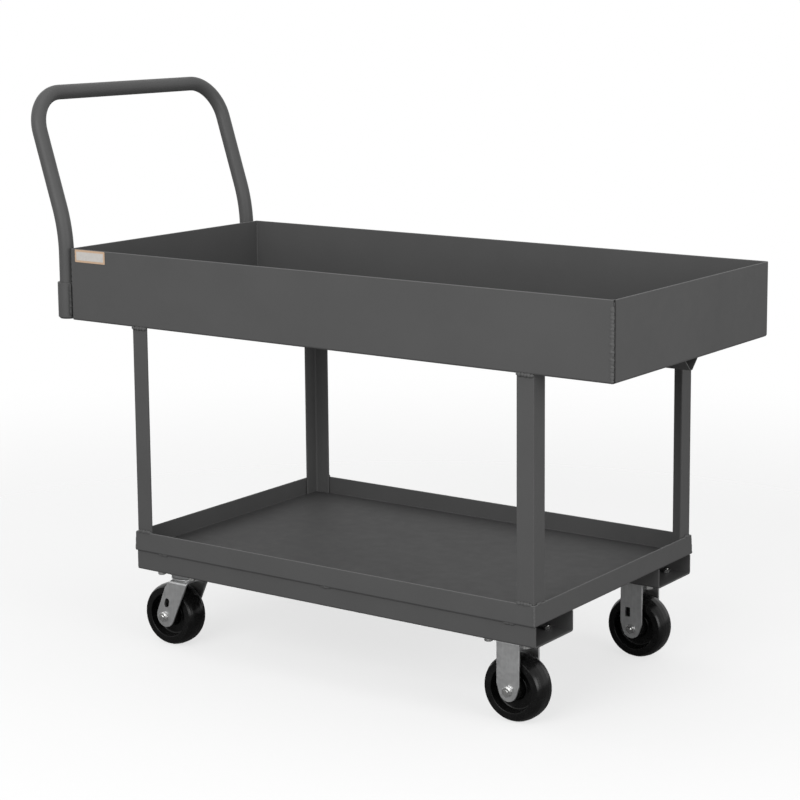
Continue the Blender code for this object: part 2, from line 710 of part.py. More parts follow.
def build_wheel(name, axle):
    """Moulded wheel with a recessed face and a crowned tread, on a roller bearing.

    At a share s of the half width the tread's radius is less than the middle's by the crown times s cubed.
    """
    radius = WHEEL_DIAMETER / 2
    half = WHEEL_WIDTH / 2
    rim = WHEEL_RIM_INNER_DIAMETER / 2
    web = WHEEL_WEB_OUTER_DIAMETER / 2
    hub = WHEEL_HUB_DIAMETER / 2
    bore = BEARING_DIAMETER / 2 + GAP
    hub_face = WHEEL_HUB_WIDTH / 2
    web_face = WHEEL_WEB_THICKNESS / 2
    side = [(bore, hub_face), (hub, hub_face), (hub + WHEEL_FILLET, web_face), (web, web_face), (rim, half)]
    side += [(radius - WHEEL_CROWN * share ** 3, half * share) for share in WHEEL_CROWN_STEPS]
    profile = side + [(r, -y) for r, y in side[::-1]]
    solid = turned(profile, WHEEL_FACETS, outside=True, axis="Y")
    add(f"wheel_{name}", solid, BLACK_RESIN, axle, smooth=True)
    inner = SLEEVE_DIAMETER / 2 + GAP
    outer = BEARING_DIAMETER / 2
    ring = [(inner, -hub_face), (inner, hub_face), (outer, hub_face), (outer, -hub_face)]
    add(f"hub_bearing_{name}", turned(ring, SMALL_FACETS, axis="Y"), STEEL, axle, smooth=True)


def build_axle(name, axle):
    """Bolt through the fork with its nut on the right, clamping the sleeve between the legs."""
    half = FORK_WIDTH / 2
    head = hexagon(AXLE_ACROSS_FLATS)
    shank = circle(AXLE_DIAMETER / 2, HEX_POINTS)
    seat = half + GAP
    bolt = [(-seat - AXLE_NUT - AXLE_TAIL, shank), (seat, shank), (seat, head), (seat + AXLE_HEAD, head)]
    add(f"axle_bolt_{name}", stack(bolt, "Y"), ZINC, axle, smooth=True)
    bore = circle(AXLE_DIAMETER / 2 + GAP, HEX_POINTS, outside=True)
    loops = []
    for y, outline in ((-seat - AXLE_NUT, head), (-seat, head), (-seat, bore), (-seat - AXLE_NUT, bore)):
        loops.append([(x, y, z) for x, z in outline])
    add(f"axle_nut_{name}", skin(loops, closed=True), ZINC, axle, smooth=True)
    inner = AXLE_DIAMETER / 2 + 2 * GAP
    outer = SLEEVE_DIAMETER / 2
    wide = half - FORK_SHEET - GAP
    ring = [(inner, -wide), (inner, wide), (outer, wide), (outer, -wide)]
    add(f"axle_sleeve_{name}", turned(ring, SMALL_FACETS, axis="Y"), STEEL, axle, smooth=True)


def build_casters(cart):
    for side, sign in SIDES.items():
        name = f"front_{side}"
        caster = axis_point(f"caster_{name}", (CASTER_FRONT_X, sign * CASTER_Y, 0), cart)
        build_rigid_fork(side, caster)
        build_plate_bolts(name, caster)
        axle = axis_point(f"axle_line_{name}", (0, 0, AXLE_Z), caster)
        build_axle(name, axle)
        build_wheel(name, axle)

        name = f"rear_{side}"
        caster = axis_point(f"caster_{name}", (CASTER_REAR_X, sign * CASTER_Y, 0), cart)
        build_swivel_plate(side, caster)
        build_ball_ring(side, caster)
        build_kingpin(side, caster)
        build_plate_bolts(name, caster)
        swivel = axis_point(f"swivel_line_{side}", (0, 0, 0), caster)
        build_swivel_fork(side, swivel)
        axle = axis_point(f"axle_line_{name}", (-SWIVEL_TRAIL, 0, AXLE_Z), swivel)
        build_axle(name, axle)
        build_wheel(name, axle)


# Handle

def handle_path():
    """Centre line from the right post's foot, over the crossbar, to the left post's foot.

    Each post rises to a bend and leans back; the corners to the crossbar lie in the leaning plane.
    """
    half = HANDLE_POST_SPREAD / 2
    tangent = HANDLE_BEND_RADIUS * math.tan(HANDLE_LEAN / 2)
    points = [Vector((0, -half, POST_FOOT_Z))]
    for i in range(BEND_STEPS + 1):
        angle = HANDLE_LEAN * i / BEND_STEPS
        x = -HANDLE_BEND_RADIUS * (1 - math.cos(angle))
        z = HANDLE_BEND_HEIGHT - tangent + HANDLE_BEND_RADIUS * math.sin(angle)
        points.append(Vector((x, -half, z)))
    uphill = Vector((-math.sin(HANDLE_LEAN), 0, math.cos(HANDLE_LEAN)))
    knee = Vector((0, -half, HANDLE_BEND_HEIGHT))
    across = Vector((0, 1, 0))
    steps = 2 * BEND_STEPS
    for i in range(steps + 1):
        angle = math.pi / 2 * i / steps
        climb = HANDLE_SLOPE_LENGTH - HANDLE_CORNER_RADIUS * (1 - math.sin(angle))
        points.append(knee + uphill * climb + across * HANDLE_CORNER_RADIUS * (1 - math.cos(angle)))
    mirrored = [Vector((p.x, -p.y, p.z)) for p in points[::-1]]
    return points + mirrored


def build_handle(cart):
    path = handle_path()
    outer = swept(path, HANDLE_DIAMETER / 2, TUBE_FACETS)
    inner = swept(path, HANDLE_DIAMETER / 2 - HANDLE_WALL, TUBE_FACETS)
    tube = skin(outer + inner[::-1], closed=True)
    add("handle", tube, ENAMEL, cart, (POST_X, 0, DECK_Z), smooth=True)


def build_sockets(cart):
    """Short tubes with closed, chamfered feet that the posts drop into."""
    outer = SOCKET_DIAMETER / 2
    bore = HANDLE_DIAMETER / 2 + GAP
    outlines = [(0, circle(outer - SOCKET_CHAMFER, TUBE_FACETS)),
                (SOCKET_CHAMFER, circle(outer, TUBE_FACETS)),
                (SOCKET_HEIGHT, circle(outer, TUBE_FACETS)),
                (SOCKET_HEIGHT, circle(bore, TUBE_FACETS, outside=True)),
                (SOCKET_FLOOR, circle(bore, TUBE_FACETS, outside=True))]
    for side, sign in SIDES.items():
        place = (POST_X, sign * HANDLE_POST_SPREAD / 2, DECK_Z + SOCKET_RISE)
        add(f"handle_socket_{side}", stack(outlines), ENAMEL, cart, place, smooth=True)


def main():
    for obj in list(bpy.data.objects):
        bpy.data.objects.remove(obj, do_unlink=True)
    cart = axis_point("cart", (TRAY_X, 0, 0))
    build_trays(cart)
    build_stiffener(cart)
    build_label(cart)
    build_legs(cart)
    build_channels(cart)
    build_casters(cart)
    build_handle(cart)
    build_sockets(cart)


main()
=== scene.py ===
# %% [markdown]
# # A steel platform cart
# The cart is folded sheet, angle iron and tube, all under one coat of grey enamel, on four casters
# of zinc-plated steel with black wheels. The imported model already has every part in its place, so
# this lesson only makes the surfaces: rounded edges, weld beads, threads, turned wheels and paint.
# It starts by loading that model, and each finished surface is built from its part's box.

# %% The frame
import json
import math

import bmesh
import bpy
import numpy as np
from mathutils import Matrix, Vector


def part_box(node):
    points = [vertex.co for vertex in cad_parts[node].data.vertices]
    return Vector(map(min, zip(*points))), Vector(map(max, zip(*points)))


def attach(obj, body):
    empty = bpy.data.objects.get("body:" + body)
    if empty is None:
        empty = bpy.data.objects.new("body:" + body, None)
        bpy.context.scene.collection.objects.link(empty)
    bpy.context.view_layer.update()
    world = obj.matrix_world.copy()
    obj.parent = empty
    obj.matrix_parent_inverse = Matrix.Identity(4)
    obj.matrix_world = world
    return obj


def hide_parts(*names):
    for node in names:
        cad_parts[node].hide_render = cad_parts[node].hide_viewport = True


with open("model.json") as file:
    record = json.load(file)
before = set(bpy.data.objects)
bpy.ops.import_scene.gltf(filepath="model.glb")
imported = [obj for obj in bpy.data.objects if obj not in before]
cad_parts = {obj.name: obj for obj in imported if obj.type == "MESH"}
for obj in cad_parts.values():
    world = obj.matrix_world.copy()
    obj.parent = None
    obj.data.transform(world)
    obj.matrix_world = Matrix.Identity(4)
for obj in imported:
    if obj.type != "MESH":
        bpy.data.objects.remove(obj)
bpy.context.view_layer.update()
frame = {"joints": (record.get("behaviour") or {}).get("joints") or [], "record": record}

# %% [markdown]
# ## Camera
# The photograph was taken with a long lens from the front right, a little above the tray. The
# picture is a crop of a larger one, so the lens axis isn't at its middle: the shift puts it back.
# A smaller shift than the best one is used, because other views keep it and should show the whole
# cart. Eye and angles are real sizes, solved from the tray's corners, the legs and the wheels.

# %% Camera
EYE = Vector((2.5889, -3.5077, 1.4072))
AZIMUTH = math.radians(33.668)
ELEVATION = math.radians(8.784)
ROLL = math.radians(-0.119)
SENSOR = 36.0
FOCAL_PIXELS = 2127.2
IMAGE_PIXELS = 800
AXIS_PIXEL_X = 487.0
AXIS_PIXEL_Y = 303.0

ahead = Vector((-math.sin(AZIMUTH) * math.cos(ELEVATION),
                math.cos(AZIMUTH) * math.cos(ELEVATION),
                -math.sin(ELEVATION)))
level = Vector((math.cos(AZIMUTH), math.sin(AZIMUTH), 0.0))
right = level * math.cos(ROLL) + level.cross(ahead) * math.sin(ROLL)
up = right.cross(ahead)

camera_data = bpy.data.cameras.new("camera")
camera_data.sensor_fit = "HORIZONTAL"
camera_data.sensor_width = SENSOR
camera_data.lens = FOCAL_PIXELS * SENSOR / IMAGE_PIXELS
camera_data.shift_x = 0.5 - AXIS_PIXEL_X / IMAGE_PIXELS
camera_data.shift_y = AXIS_PIXEL_Y / IMAGE_PIXELS - 0.5
camera_data.clip_end = 60.0
camera = bpy.data.objects.new("camera", camera_data)
bpy.context.scene.collection.objects.link(camera)
camera.matrix_world = Matrix.Translation(EYE) @ Matrix((right, up, -ahead)).transposed().to_4x4()
bpy.context.scene.camera = camera
print("lens", round(camera_data.lens, 2), "mm")

# %% [markdown]
# ## Light and floor
# Product light is a bright room: the sky of this scene lights everything evenly, and three large
# soft lamps give the walls their slight differences. The floor is pale and keeps the cart's shadow.
# Far out it turns clear, so that it runs into the white background with no horizon line. What the
# cart's underside receives from it is less than what the camera sees, as under a real cart.

# %% Sky
SKY_STRENGTH = 0.52
WHITE = (1.0, 1.0, 1.0, 1.0)

scene = bpy.context.scene
scene.view_settings.view_transform = "Standard"
world = bpy.data.worlds.new("bright_room")
scene.world = world
world.use_nodes = True
sky = world.node_tree
sky.nodes.clear()


def added(tree, kind, **values):
    """New shader node of a kind, with input sockets set by name."""
    made = tree.nodes.new("ShaderNode" + kind)
    for socket, value in values.items():
        made.inputs[socket.replace("_", " ")].default_value = value
    return made


def computed(tree, operation, *values):
    """Result of a math node whose inputs are sockets or numbers."""
    made = added(tree, "Math")
    made.operation = operation
    for slot, value in zip(made.inputs, values):
        if isinstance(value, float):
            slot.default_value = value
        else:
            tree.links.new(value, slot)
    return made.outputs[0]


def chosen(tree, share, first, second):
    """Mix of two shaders by a share."""
    made = added(tree, "MixShader")
    tree.links.new(share, made.inputs["Fac"])
    tree.links.new(first.outputs[0], made.inputs[1])
    tree.links.new(second.outputs[0], made.inputs[2])
    return made


ray = added(sky, "LightPath").outputs
mirrored = computed(sky, "MAXIMUM", ray["Is Camera Ray"], ray["Is Glossy Ray"])
looked_at = computed(sky, "MAXIMUM", mirrored, ray["Is Transmission Ray"])
lighting = added(sky, "Background", Color=WHITE, Strength=SKY_STRENGTH)
seen = added(sky, "Background", Color=WHITE)
output = added(sky, "OutputWorld")
sky.links.new(chosen(sky, looked_at, lighting, seen).outputs[0], output.inputs["Surface"])
print("sky strength", SKY_STRENGTH)

# %% Lamps
LAMPS = {
    "front_lamp": ((0.4, -4.2, 2.4), 3.0, 125.0),
    "right_lamp": ((4.4, -1.0, 1.2), 2.2, 80.0),
    "top_lamp": ((0.0, 0.0, 4.5), 3.0, 30.0),
}
LAMP_AIM = Vector((0.0, 0.0, 0.55))


def lamp(name, place, size, power):
    """A square soft lamp that faces the middle of the cart."""
    data = bpy.data.lights.new(name, "AREA")
    data.size = size
    data.energy = power
    made = bpy.data.objects.new(name, data)
    scene.collection.objects.link(made)
    made.location = place
    made.rotation_euler = (LAMP_AIM - Vector(place)).to_track_quat("-Z", "Y").to_euler()
    made.visible_camera = False
    made.visible_glossy = True
    return made


for lamp_name, (lamp_place, lamp_size, lamp_power) in LAMPS.items():
    lamp(lamp_name, lamp_place, lamp_size, lamp_power)
print(len(LAMPS), "lamps")

# %% Floor
FLOOR_RADIUS = 7.0
FLOOR_SIDES = 96
FLOOR_SOLID_RADIUS = 1.3
FLOOR_CLEAR_RADIUS = 3.2
FLOOR_COLOUR = (0.93, 0.93, 0.93, 1.0)
FLOOR_LIT_COLOUR = (0.26, 0.26, 0.26, 1.0)
FLOOR_SEEN_SHARE = 0.30

turns = np.linspace(0, 2 * np.pi, FLOOR_SIDES, endpoint=False)
disc = FLOOR_RADIUS * np.stack([np.cos(turns), np.sin(turns), 0 * turns], 1)
floor_mesh = bpy.data.meshes.new("floor")
floor_mesh.from_pydata(disc.tolist(), [], [list(range(FLOOR_SIDES))])
floor = bpy.data.objects.new("floor", floor_mesh)
scene.collection.objects.link(floor)

paper = bpy.data.materials.new("pale_floor")
paper.use_nodes = True
tree = paper.node_tree
tree.nodes.clear()
place = added(tree, "TexCoord")
distance = added(tree, "VectorMath")
distance.operation = "LENGTH"
fade = added(tree, "MapRange", From_Min=FLOOR_SOLID_RADIUS, From_Max=FLOOR_CLEAR_RADIUS,
             To_Min=1.0 - FLOOR_SEEN_SHARE)
fade.interpolation_type = "SMOOTHSTEP"
tree.links.new(place.outputs["Object"], distance.inputs[0])
tree.links.new(distance.outputs["Value"], fade.inputs["Value"])
diffuse = added(tree, "BsdfDiffuse", Color=FLOOR_COLOUR)
darker = added(tree, "BsdfDiffuse", Color=FLOOR_LIT_COLOUR)
faded = chosen(tree, fade.outputs["Result"], diffuse, added(tree, "BsdfTransparent"))
by_ray = chosen(tree, added(tree, "LightPath").outputs["Is Camera Ray"], darker, faded)
surface = added(tree, "OutputMaterial")
tree.links.new(by_ray.outputs[0], surface.inputs["Surface"])
floor_mesh.materials.append(paper)
print("floor radius", FLOOR_RADIUS)

# %% [markdown]
# ## Surfaces from grids
# Every piece here is a grid of points: a shape is worked out as a function of two parameters, and
# neighbours in the grid are joined by quads. One helper numbers the quads, another closes the ends,
# and a third puts the finished shells into a mesh, turns the faces outwards and shades it.

# %% Grid helpers
SHARP_ANGLE = math.radians(38)
# Point attribute of painted light: positive is a painted highlight, negative painted shade.
PAINTED_LIGHT_ATTRIBUTE = "paint_tone"

body_of_node = {}
for body_name, members in frame["record"]["behaviour"]["bodies"].items():
    for member in members:
        body_of_node[member] = body_name


def quads(rows, columns, ring=True, loop=False):
    """Corner numbers of a grid's quads: a point, its neighbour in the row, and the next row's two.

    A ring joins the last column to the first, and a loop the last row to the first.
    """
    r = np.arange(rows if loop else rows - 1)[:, None]
    c = np.arange(columns if ring else columns - 1)[None, :]
    above = (r + 1) % rows
    beside = (c + 1) % columns
    row = r * columns
    next_row = above * columns
    return np.stack((row + c, row + beside, next_row + beside, next_row + c), -1).reshape(-1, 4)


def shell(grid, loop=False):
    """Closed shell through the rows of a grid: a loop of rows, or a flat cap at each end.

    A cap is a ladder of quads: points i and i + 1 of the outline are joined to those as far from
    its other end. So an outline that runs out along one side of a strip and back along the other
    closes.
    """
    rows, columns = grid.shape[:2]
    faces = quads(rows, columns, True, loop)
    if not loop:
        i = np.arange(columns // 2 - 1)
        ladder = np.stack([i, i + 1, columns - 2 - i, columns - 1 - i], 1)
        faces = np.concatenate([faces, ladder, ladder + (rows - 1) * columns])
    return grid.reshape(-1, 3), faces.tolist()


def with_painted_light(made, painted_light):
    """The shell with painted light and shade at its points, one value for all or one for each.

    A value of 1 is a painted highlight, 0 the plain coat and -1 painted shade.
    """
    points, faces = made[:2]
    return points, faces, np.broadcast_to(np.asarray(painted_light, float), len(points))


def mesh_of(name, shells):
    """One mesh from several shells, faces turned outwards, with the painted light they carry."""
    starts = np.cumsum([0] + [len(made[0]) for made in shells])
    points = np.concatenate([made[0] for made in shells])
    painted_lights = [made[2] if len(made) > 2 else np.zeros(len(made[0])) for made in shells]
    painted_lights = np.concatenate(painted_lights).astype(np.float32)
    faces = []
    for start, made in zip(starts.tolist(), shells):
        faces += [[corner + start for corner in face] for face in made[1]]
    mesh = bpy.data.meshes.new(name)
    mesh.from_pydata(points.tolist(), [], faces)
    mesh.attributes.new(PAINTED_LIGHT_ATTRIBUTE, "FLOAT", "POINT").data.foreach_set("value", painted_lights)
    shape = bmesh.new()
    shape.from_mesh(mesh)
    bmesh.ops.recalc_face_normals(shape, faces=shape.faces)
    shape.to_mesh(mesh)
    shape.free()
    return mesh


def piece(node, mesh, material, name=None):
    """Finished piece that stands for a node of the frame and rides on that node's body."""
    mesh.shade_smooth()
    mesh.set_sharp_from_angle(angle=SHARP_ANGLE)
    made = bpy.data.objects.new(name or node + "_finished", mesh)
    scene.collection.objects.link(made)
    mesh.materials.append(material)
    even = made.modifiers.new("even_shading", "WEIGHTED_NORMAL")
    even.keep_sharp = True
    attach(made, body_of_node[node])
    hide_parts(node)
    return made


def box_of(node):
    """Lowest and highest corner of a node as arrays."""
    low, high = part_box(node)
    return np.array(low), np.array(high)


def placed(plane, height, axis):
    """Points of a plane outline, which fills two axes in order, at a height along the third."""
    at = "XYZ".index(axis)
    columns = [plane[..., 0], plane[..., 1]]
    columns.insert(at, np.broadcast_to(height, plane[..., 0].shape))
    return np.stack(columns, -1)


print(len(body_of_node), "nodes to dress")

# %% [markdown]
# Steel has no perfect corners. A folded, rolled or sheared edge has a radius, and that radius is
# what catches the light. So outlines get their corners rounded by arcs, and bars get rounded ends.

# %% Outlines and bars
def filleted(corners, radii, steps=4):
    """Polygon with an arc at each corner, or the corner itself where its radius is 0.

    The arc's centre is on the corner's bisector at radius / sin(half the angle), it touches both
    sides, and its points are turned evenly from one touching point to the other.
    """
    corners = np.asarray(corners, float)
    radii = np.broadcast_to(np.asarray(radii, float), len(corners))
    back = np.roll(corners, 1, 0) - corners
    forth = np.roll(corners, -1, 0) - corners
    back /= np.linalg.norm(back, axis=1, keepdims=True)
    forth /= np.linalg.norm(forth, axis=1, keepdims=True)
    half = np.arccos(np.clip((back * forth).sum(1), -1, 1)) / 2
    middle = back + forth
    middle /= np.linalg.norm(middle, axis=1, keepdims=True)
    points = []
    for corner, radius, angle, a, b, m in zip(corners, radii, half, back, forth, middle):
        if radius == 0:
            points.append(corner[None])
            continue
        centre = corner + m * radius / math.sin(angle)
        first = corner + a * radius / math.tan(angle) - centre
        last = corner + b * radius / math.tan(angle) - centre
        turn = math.pi - 2 * angle
        share = np.linspace(0, 1, steps + 1)[:, None]
        arc = np.sin((1 - share) * turn) * first + np.sin(share * turn) * last
        points.append(centre + arc / math.sin(turn))
    return np.concatenate(points)


def outward(outline):
    """Unit normals of a closed outline, square to the line through each point's two neighbours."""
    along = np.roll(outline, -1, 0) - np.roll(outline, 1, 0)
    normal = np.stack([along[:, 1], -along[:, 0]], 1)
    normal /= np.linalg.norm(normal, axis=1, keepdims=True)
    x, y = outline.T
    area = (x * np.roll(y, -1) - np.roll(x, -1) * y).sum()
    return normal if area > 0 else -normal


def bar(outline, axis, start, end, edge=0.0005, steps=3):
    """Solid bar: an outline carried along an axis, its two ends rounded.

    At a depth edge (1 - cos a) from an end, the outline is moved inwards by edge (1 - sin a).
    """
    angle = np.linspace(0, np.pi / 2, steps + 1)
    depth = edge * (1 - np.cos(angle))
    inwards = edge * (1 - np.sin(angle))
    heights = np.concatenate([start + depth, end - depth[::-1]])
    move = np.concatenate([inwards, inwards[::-1]])
    plane = outline[None] - move[:, None, None] * outward(outline)[None]
    return shell(placed(plane, heights[:, None], axis))


def rectangle(length, width, radius):
    """Rectangle about the origin with round corners."""
    a, b = length / 2, width / 2
    return filleted([(a, -b), (a, b), (-a, b), (-a, -b)], radius)


def turned(profile, axis, centre=(0, 0, 0), facets=64, closed=True):
    """Profile of (radius, height) turned about an axis through the centre.

    A point at radius r and angle t lies at r cos t and r sin t in the other two axes.
    """
    angle = np.linspace(0, 2 * np.pi, facets, endpoint=False)
    radius = profile[:, 0][:, None]
    plane = np.stack([radius * np.cos(angle), radius * np.sin(angle)], -1)
    grid = placed(plane, profile[:, 1][:, None], axis) + np.asarray(centre, float)
    return shell(grid, loop=closed)


print("a rounded square has", len(rectangle(1, 1, 0.1)), "points")

# %% [markdown]
# ## Weld beads
# The cart is welded, and the beads are left as they were laid, under the paint. A bead is half an
# oval sunk in the joint, with ripples where the pool froze step by step, and rounded ends. It is a
# grid along a path: its size swells and shrinks with a fast ripple and two slow waves. Each bead
# takes a seed of its own, a number that shifts the waves, so that no two look alike. Further down,
# a pair such as SEAM_BEAD is the width and the height of one kind of bead.

# %% Weld beads
BEAD_STEP = 0.0008
BEAD_RIPPLE = 0.0032
BEAD_RIPPLE_SIZE = 0.07
BEAD_LUMPS = 0.16
BEAD_WANDER = 0.06
BEAD_FACETS = 14
# Painted highlight: beads are painted a little paler, for the light they catch.
BEAD_PAINTED_HIGHLIGHT = 0.12


def resampled(path, step):
    """Points at even steps along a path of straight runs."""
    path = np.asarray(path, float)
    runs = np.linalg.norm(np.diff(path, axis=0), axis=1)
    reach = np.concatenate([[0.0], np.cumsum(runs)])
    count = max(int(reach[-1] / step), 8)
    travel = np.linspace(0, reach[-1], count)
    return np.stack([np.interp(travel, reach, path[:, k]) for k in range(3)], 1), travel


def bead(path, width, height, outwards, seed=0.0, lumps=BEAD_LUMPS, painted_light=BEAD_PAINTED_HIGHLIGHT):
    """Rippled weld bead along a path, closed at both ends.

    The section is an oval, width across and height out. Its size is 1 + a small cosine ripple + two
    slow sines, times an end taper sqrt(1 - (1 - d / w)^2) within one width w of each end. A third
    slow sine moves it sideways. The slow waves are 9 to 27 mm long, from 700 to 230 rad per metre.
    """
    centre, travel = resampled(path, BEAD_STEP)
    along = np.gradient(centre, axis=0)
    along /= np.linalg.norm(along, axis=1, keepdims=True)
    out = np.broadcast_to(np.asarray(outwards, float), centre.shape)
    out = out - along * (out * along).sum(1, keepdims=True)
    out /= np.linalg.norm(out, axis=1, keepdims=True)
    across = np.cross(along, out)
    uneven = 3 * np.sin(travel * 90 + seed)
    ripple = BEAD_RIPPLE_SIZE * np.cos(2 * np.pi * travel / BEAD_RIPPLE + uneven)
    slow = lumps * np.sin(travel * 700 + 5 * seed) * np.sin(travel * 230 + 9 * seed + 1)
    drift = lumps * 0.5 * np.sin(travel * 410 + 2 * seed)
    to_end = np.minimum(travel, travel[-1] - travel)
    taper = np.sqrt(np.clip(1 - (1 - np.clip(to_end / width, 0.002, 1)) ** 2, 0, 1))
    size = (1 + ripple + slow + drift) * taper
    angle = np.linspace(0, 2 * np.pi, BEAD_FACETS, endpoint=False)
    oval = across[:, None] * np.cos(angle)[None, :, None] * width / 2
    oval = oval + out[:, None] * np.sin(angle)[None, :, None] * height
    wander = BEAD_WANDER * width * np.sin(travel * 510 + 7 * seed)
    made = shell(centre[:, None] + (across * wander[:, None])[:, None] + oval * size[:, None, None])
    return with_painted_light(made, painted_light)


sample = bead([(0, 0, 0), (0.03, 0, 0)], 0.006, 0.002, (0, 0, 1))
print("a bead of 30 mm has", len(sample[0]), "points")

# %% [markdown]
# ## Finishes
# A finish is a small tree of nodes on one shader. The enamel is sprayed on and baked: nearly one
# colour, with a fine orange-peel skin, faint clouds, and sheet metal's slow waves under it. Rims
# and beads are painted paler as a painted highlight, and narrow grooves and gaps darker as painted
# shade: a value that each mesh carries says where. All patterns read object coordinates in metres,
# so that a scale of 400 is a grain of 2.5 mm. On the round tube of the handle the same paint flows
# smoother and shines a little more.

# %% Node helpers
def finish(name, colour, roughness, metallic=0.0):
    """New material with one principled shader. Returns the material, its tree and the shader."""
    made = bpy.data.materials.new(name)
    made.use_nodes = True
    shader = made.node_tree.nodes["Principled BSDF"]
    shader.inputs["Base Color"].default_value = (*colour, 1.0)
    shader.inputs["Roughness"].default_value = roughness
    shader.inputs["Metallic"].default_value = metallic
    return made, made.node_tree, shader


def noise(tree, scale, detail=2.0, stretch=(1.0, 1.0, 1.0)):
    """Noise over object coordinates, which a stretch draws out along an axis."""
    place = added(tree, "TexCoord")
    mapping = added(tree, "Mapping", Scale=stretch)
    texture = added(tree, "TexNoise", Scale=scale, Detail=detail)
    tree.links.new(place.outputs["Object"], mapping.inputs["Vector"])
    tree.links.new(mapping.outputs["Vector"], texture.inputs["Vector"])
    return texture.outputs["Fac"]


def spread(tree, value, low, high, start=0.25, end=0.75):
    """The value's middle range stretched over low to high."""
    ranged = added(tree, "MapRange", From_Min=start, From_Max=end, To_Min=low, To_Max=high)
    tree.links.new(value, ranged.inputs["Value"])
    return ranged.outputs["Result"]


def blended(tree, share, first, second):
    """Colour between two colours by a share."""
    mix = added(tree, "Mix")
    mix.data_type = "RGBA"
    for name, colour in (("A", first), ("B", second)):
        socket = next(s for s in mix.inputs if s.name == name and s.type == "RGBA")
        if isinstance(colour, tuple):
            socket.default_value = (*colour, 1.0)
        else:
            tree.links.new(colour, socket)
    tree.links.new(share, mix.inputs["Factor"])
    return next(s for s in mix.outputs if s.type == "RGBA")


def bumped(tree, height, depth, under=None):
    """Bump of a real depth in metres, on top of another bump if one is given."""
    bump = added(tree, "Bump", Strength=1.0, Distance=depth)
    tree.links.new(height, bump.inputs["Height"])
    if under is not None:
        tree.links.new(under, bump.inputs["Normal"])
    return bump.outputs["Normal"]


# %% Enamel
ENAMEL_DARK = (0.076, 0.076, 0.076)
ENAMEL_LIGHT = (0.084, 0.084, 0.084)
ENAMEL_SPECK = (0.066, 0.066, 0.066)
# Painted highlight: the pale colour that rims and beads get for the light they catch.
ENAMEL_PAINTED_HIGHLIGHT = (0.150, 0.150, 0.150)
# Painted shade: the dark colour that grooves and gaps get for the shade in them.
ENAMEL_PAINTED_SHADE = (0.012, 0.012, 0.012)
ENAMEL_SPECULAR = 0.18


def enamel(name, low_roughness, high_roughness):
    """Baked grey enamel with a painted highlight and painted shade where the mesh asks for them."""
    made, tree, shader = finish(name, ENAMEL_LIGHT, high_roughness)
    shader.inputs["Specular IOR Level"].default_value = ENAMEL_SPECULAR
    clouds = blended(tree, spread(tree, noise(tree, 7.0, 3.0), 0.0, 1.0), ENAMEL_DARK, ENAMEL_LIGHT)
    specks = spread(tree, noise(tree, 900.0, 1.0), 0.0, 0.5, 0.62, 0.75)
    speckled = blended(tree, specks, clouds, ENAMEL_SPECK)
    attribute = added(tree, "Attribute")
    attribute.attribute_name = PAINTED_LIGHT_ATTRIBUTE
    painted_light = attribute.outputs["Fac"]
    # Paler by the painted highlight, then darker by the painted shade.
    with_painted_highlight = blended(tree, spread(tree, painted_light, 0.0, 1.0, 0.0, 1.0), speckled, ENAMEL_PAINTED_HIGHLIGHT)
    with_painted_shade = blended(tree, spread(tree, painted_light, 0.0, 1.0, 0.0, -1.0), with_painted_highlight, ENAMEL_PAINTED_SHADE)
    tree.links.new(with_painted_shade, shader.inputs["Base Color"])
    gloss = spread(tree, noise(tree, 38.0), low_roughness, high_roughness)
    tree.links.new(gloss, shader.inputs["Roughness"])
    waves = bumped(tree, noise(tree, 6.0, 1.0), 0.0012)
    peel = bumped(tree, noise(tree, 420.0, 1.5), 0.00005, waves)
    tree.links.new(peel, shader.inputs["Normal"])
    return made


GREY_ENAMEL = enamel("grey_enamel", 0.57, 0.66)
TUBE_ENAMEL = enamel("grey_enamel_tube", 0.40, 0.48)
print(GREY_ENAMEL.name, "with", len(GREY_ENAMEL.node_tree.nodes), "nodes")

# %% [markdown]
# Zinc plating is a thin bright coat on pressed steel. It is metal, but satin: the coat follows the
# steel's fine scratches, which run along the strip, and it clouds over in blotches a few
# millimetres wide. Bolts and nuts get the same coat with less haze, so their flats glint.

# %% Zinc and steel
ZINC_DULL = (0.445, 0.448, 0.45)
ZINC_BRIGHT = (0.575, 0.578, 0.58)
BOLT_DULL = (0.30, 0.30, 0.295)
BOLT_BRIGHT = (0.78, 0.78, 0.77)
STEEL_DULL = (0.30, 0.30, 0.30)
STEEL_BRIGHT = (0.44, 0.44, 0.44)


def plated(name, dull, bright, low_roughness, high_roughness, grain, blotch_scale):
    """Plated or ground steel: blotches and upright streaks, haze, and scratches along Z."""
    made, tree, shader = finish(name, dull, high_roughness, 1.0)
    blotches = spread(tree, noise(tree, blotch_scale, 3.0), 0.0, 1.0)
    streaks = spread(tree, noise(tree, 1.0, 2.0, (520.0, 520.0, 18.0)), 0.0, 0.7, 0.35, 0.7)
    clouded = blended(tree, blotches, dull, bright)
    tree.links.new(blended(tree, streaks, clouded, bright), shader.inputs["Base Color"])
    haze = spread(tree, noise(tree, 260.0, 2.0), low_roughness, high_roughness)
    tree.links.new(haze, shader.inputs["Roughness"])
    scratches = noise(tree, 1.0, 2.0, (1400.0, 1400.0, 60.0))
    tree.links.new(bumped(tree, scratches, grain), shader.inputs["Normal"])
    return made


ZINC = plated("zinc_plate", ZINC_DULL, ZINC_BRIGHT, 0.34, 0.48, 0.00002, 95.0)
BOLT_ZINC = plated("bolt_zinc", BOLT_DULL, BOLT_BRIGHT, 0.16, 0.28, 0.00001, 330.0)
STEEL = plated("bearing_steel", STEEL_DULL, STEEL_BRIGHT, 0.22, 0.36, 0.00001, 140.0)
print("metals:", ZINC.name, BOLT_ZINC.name, STEEL.name)

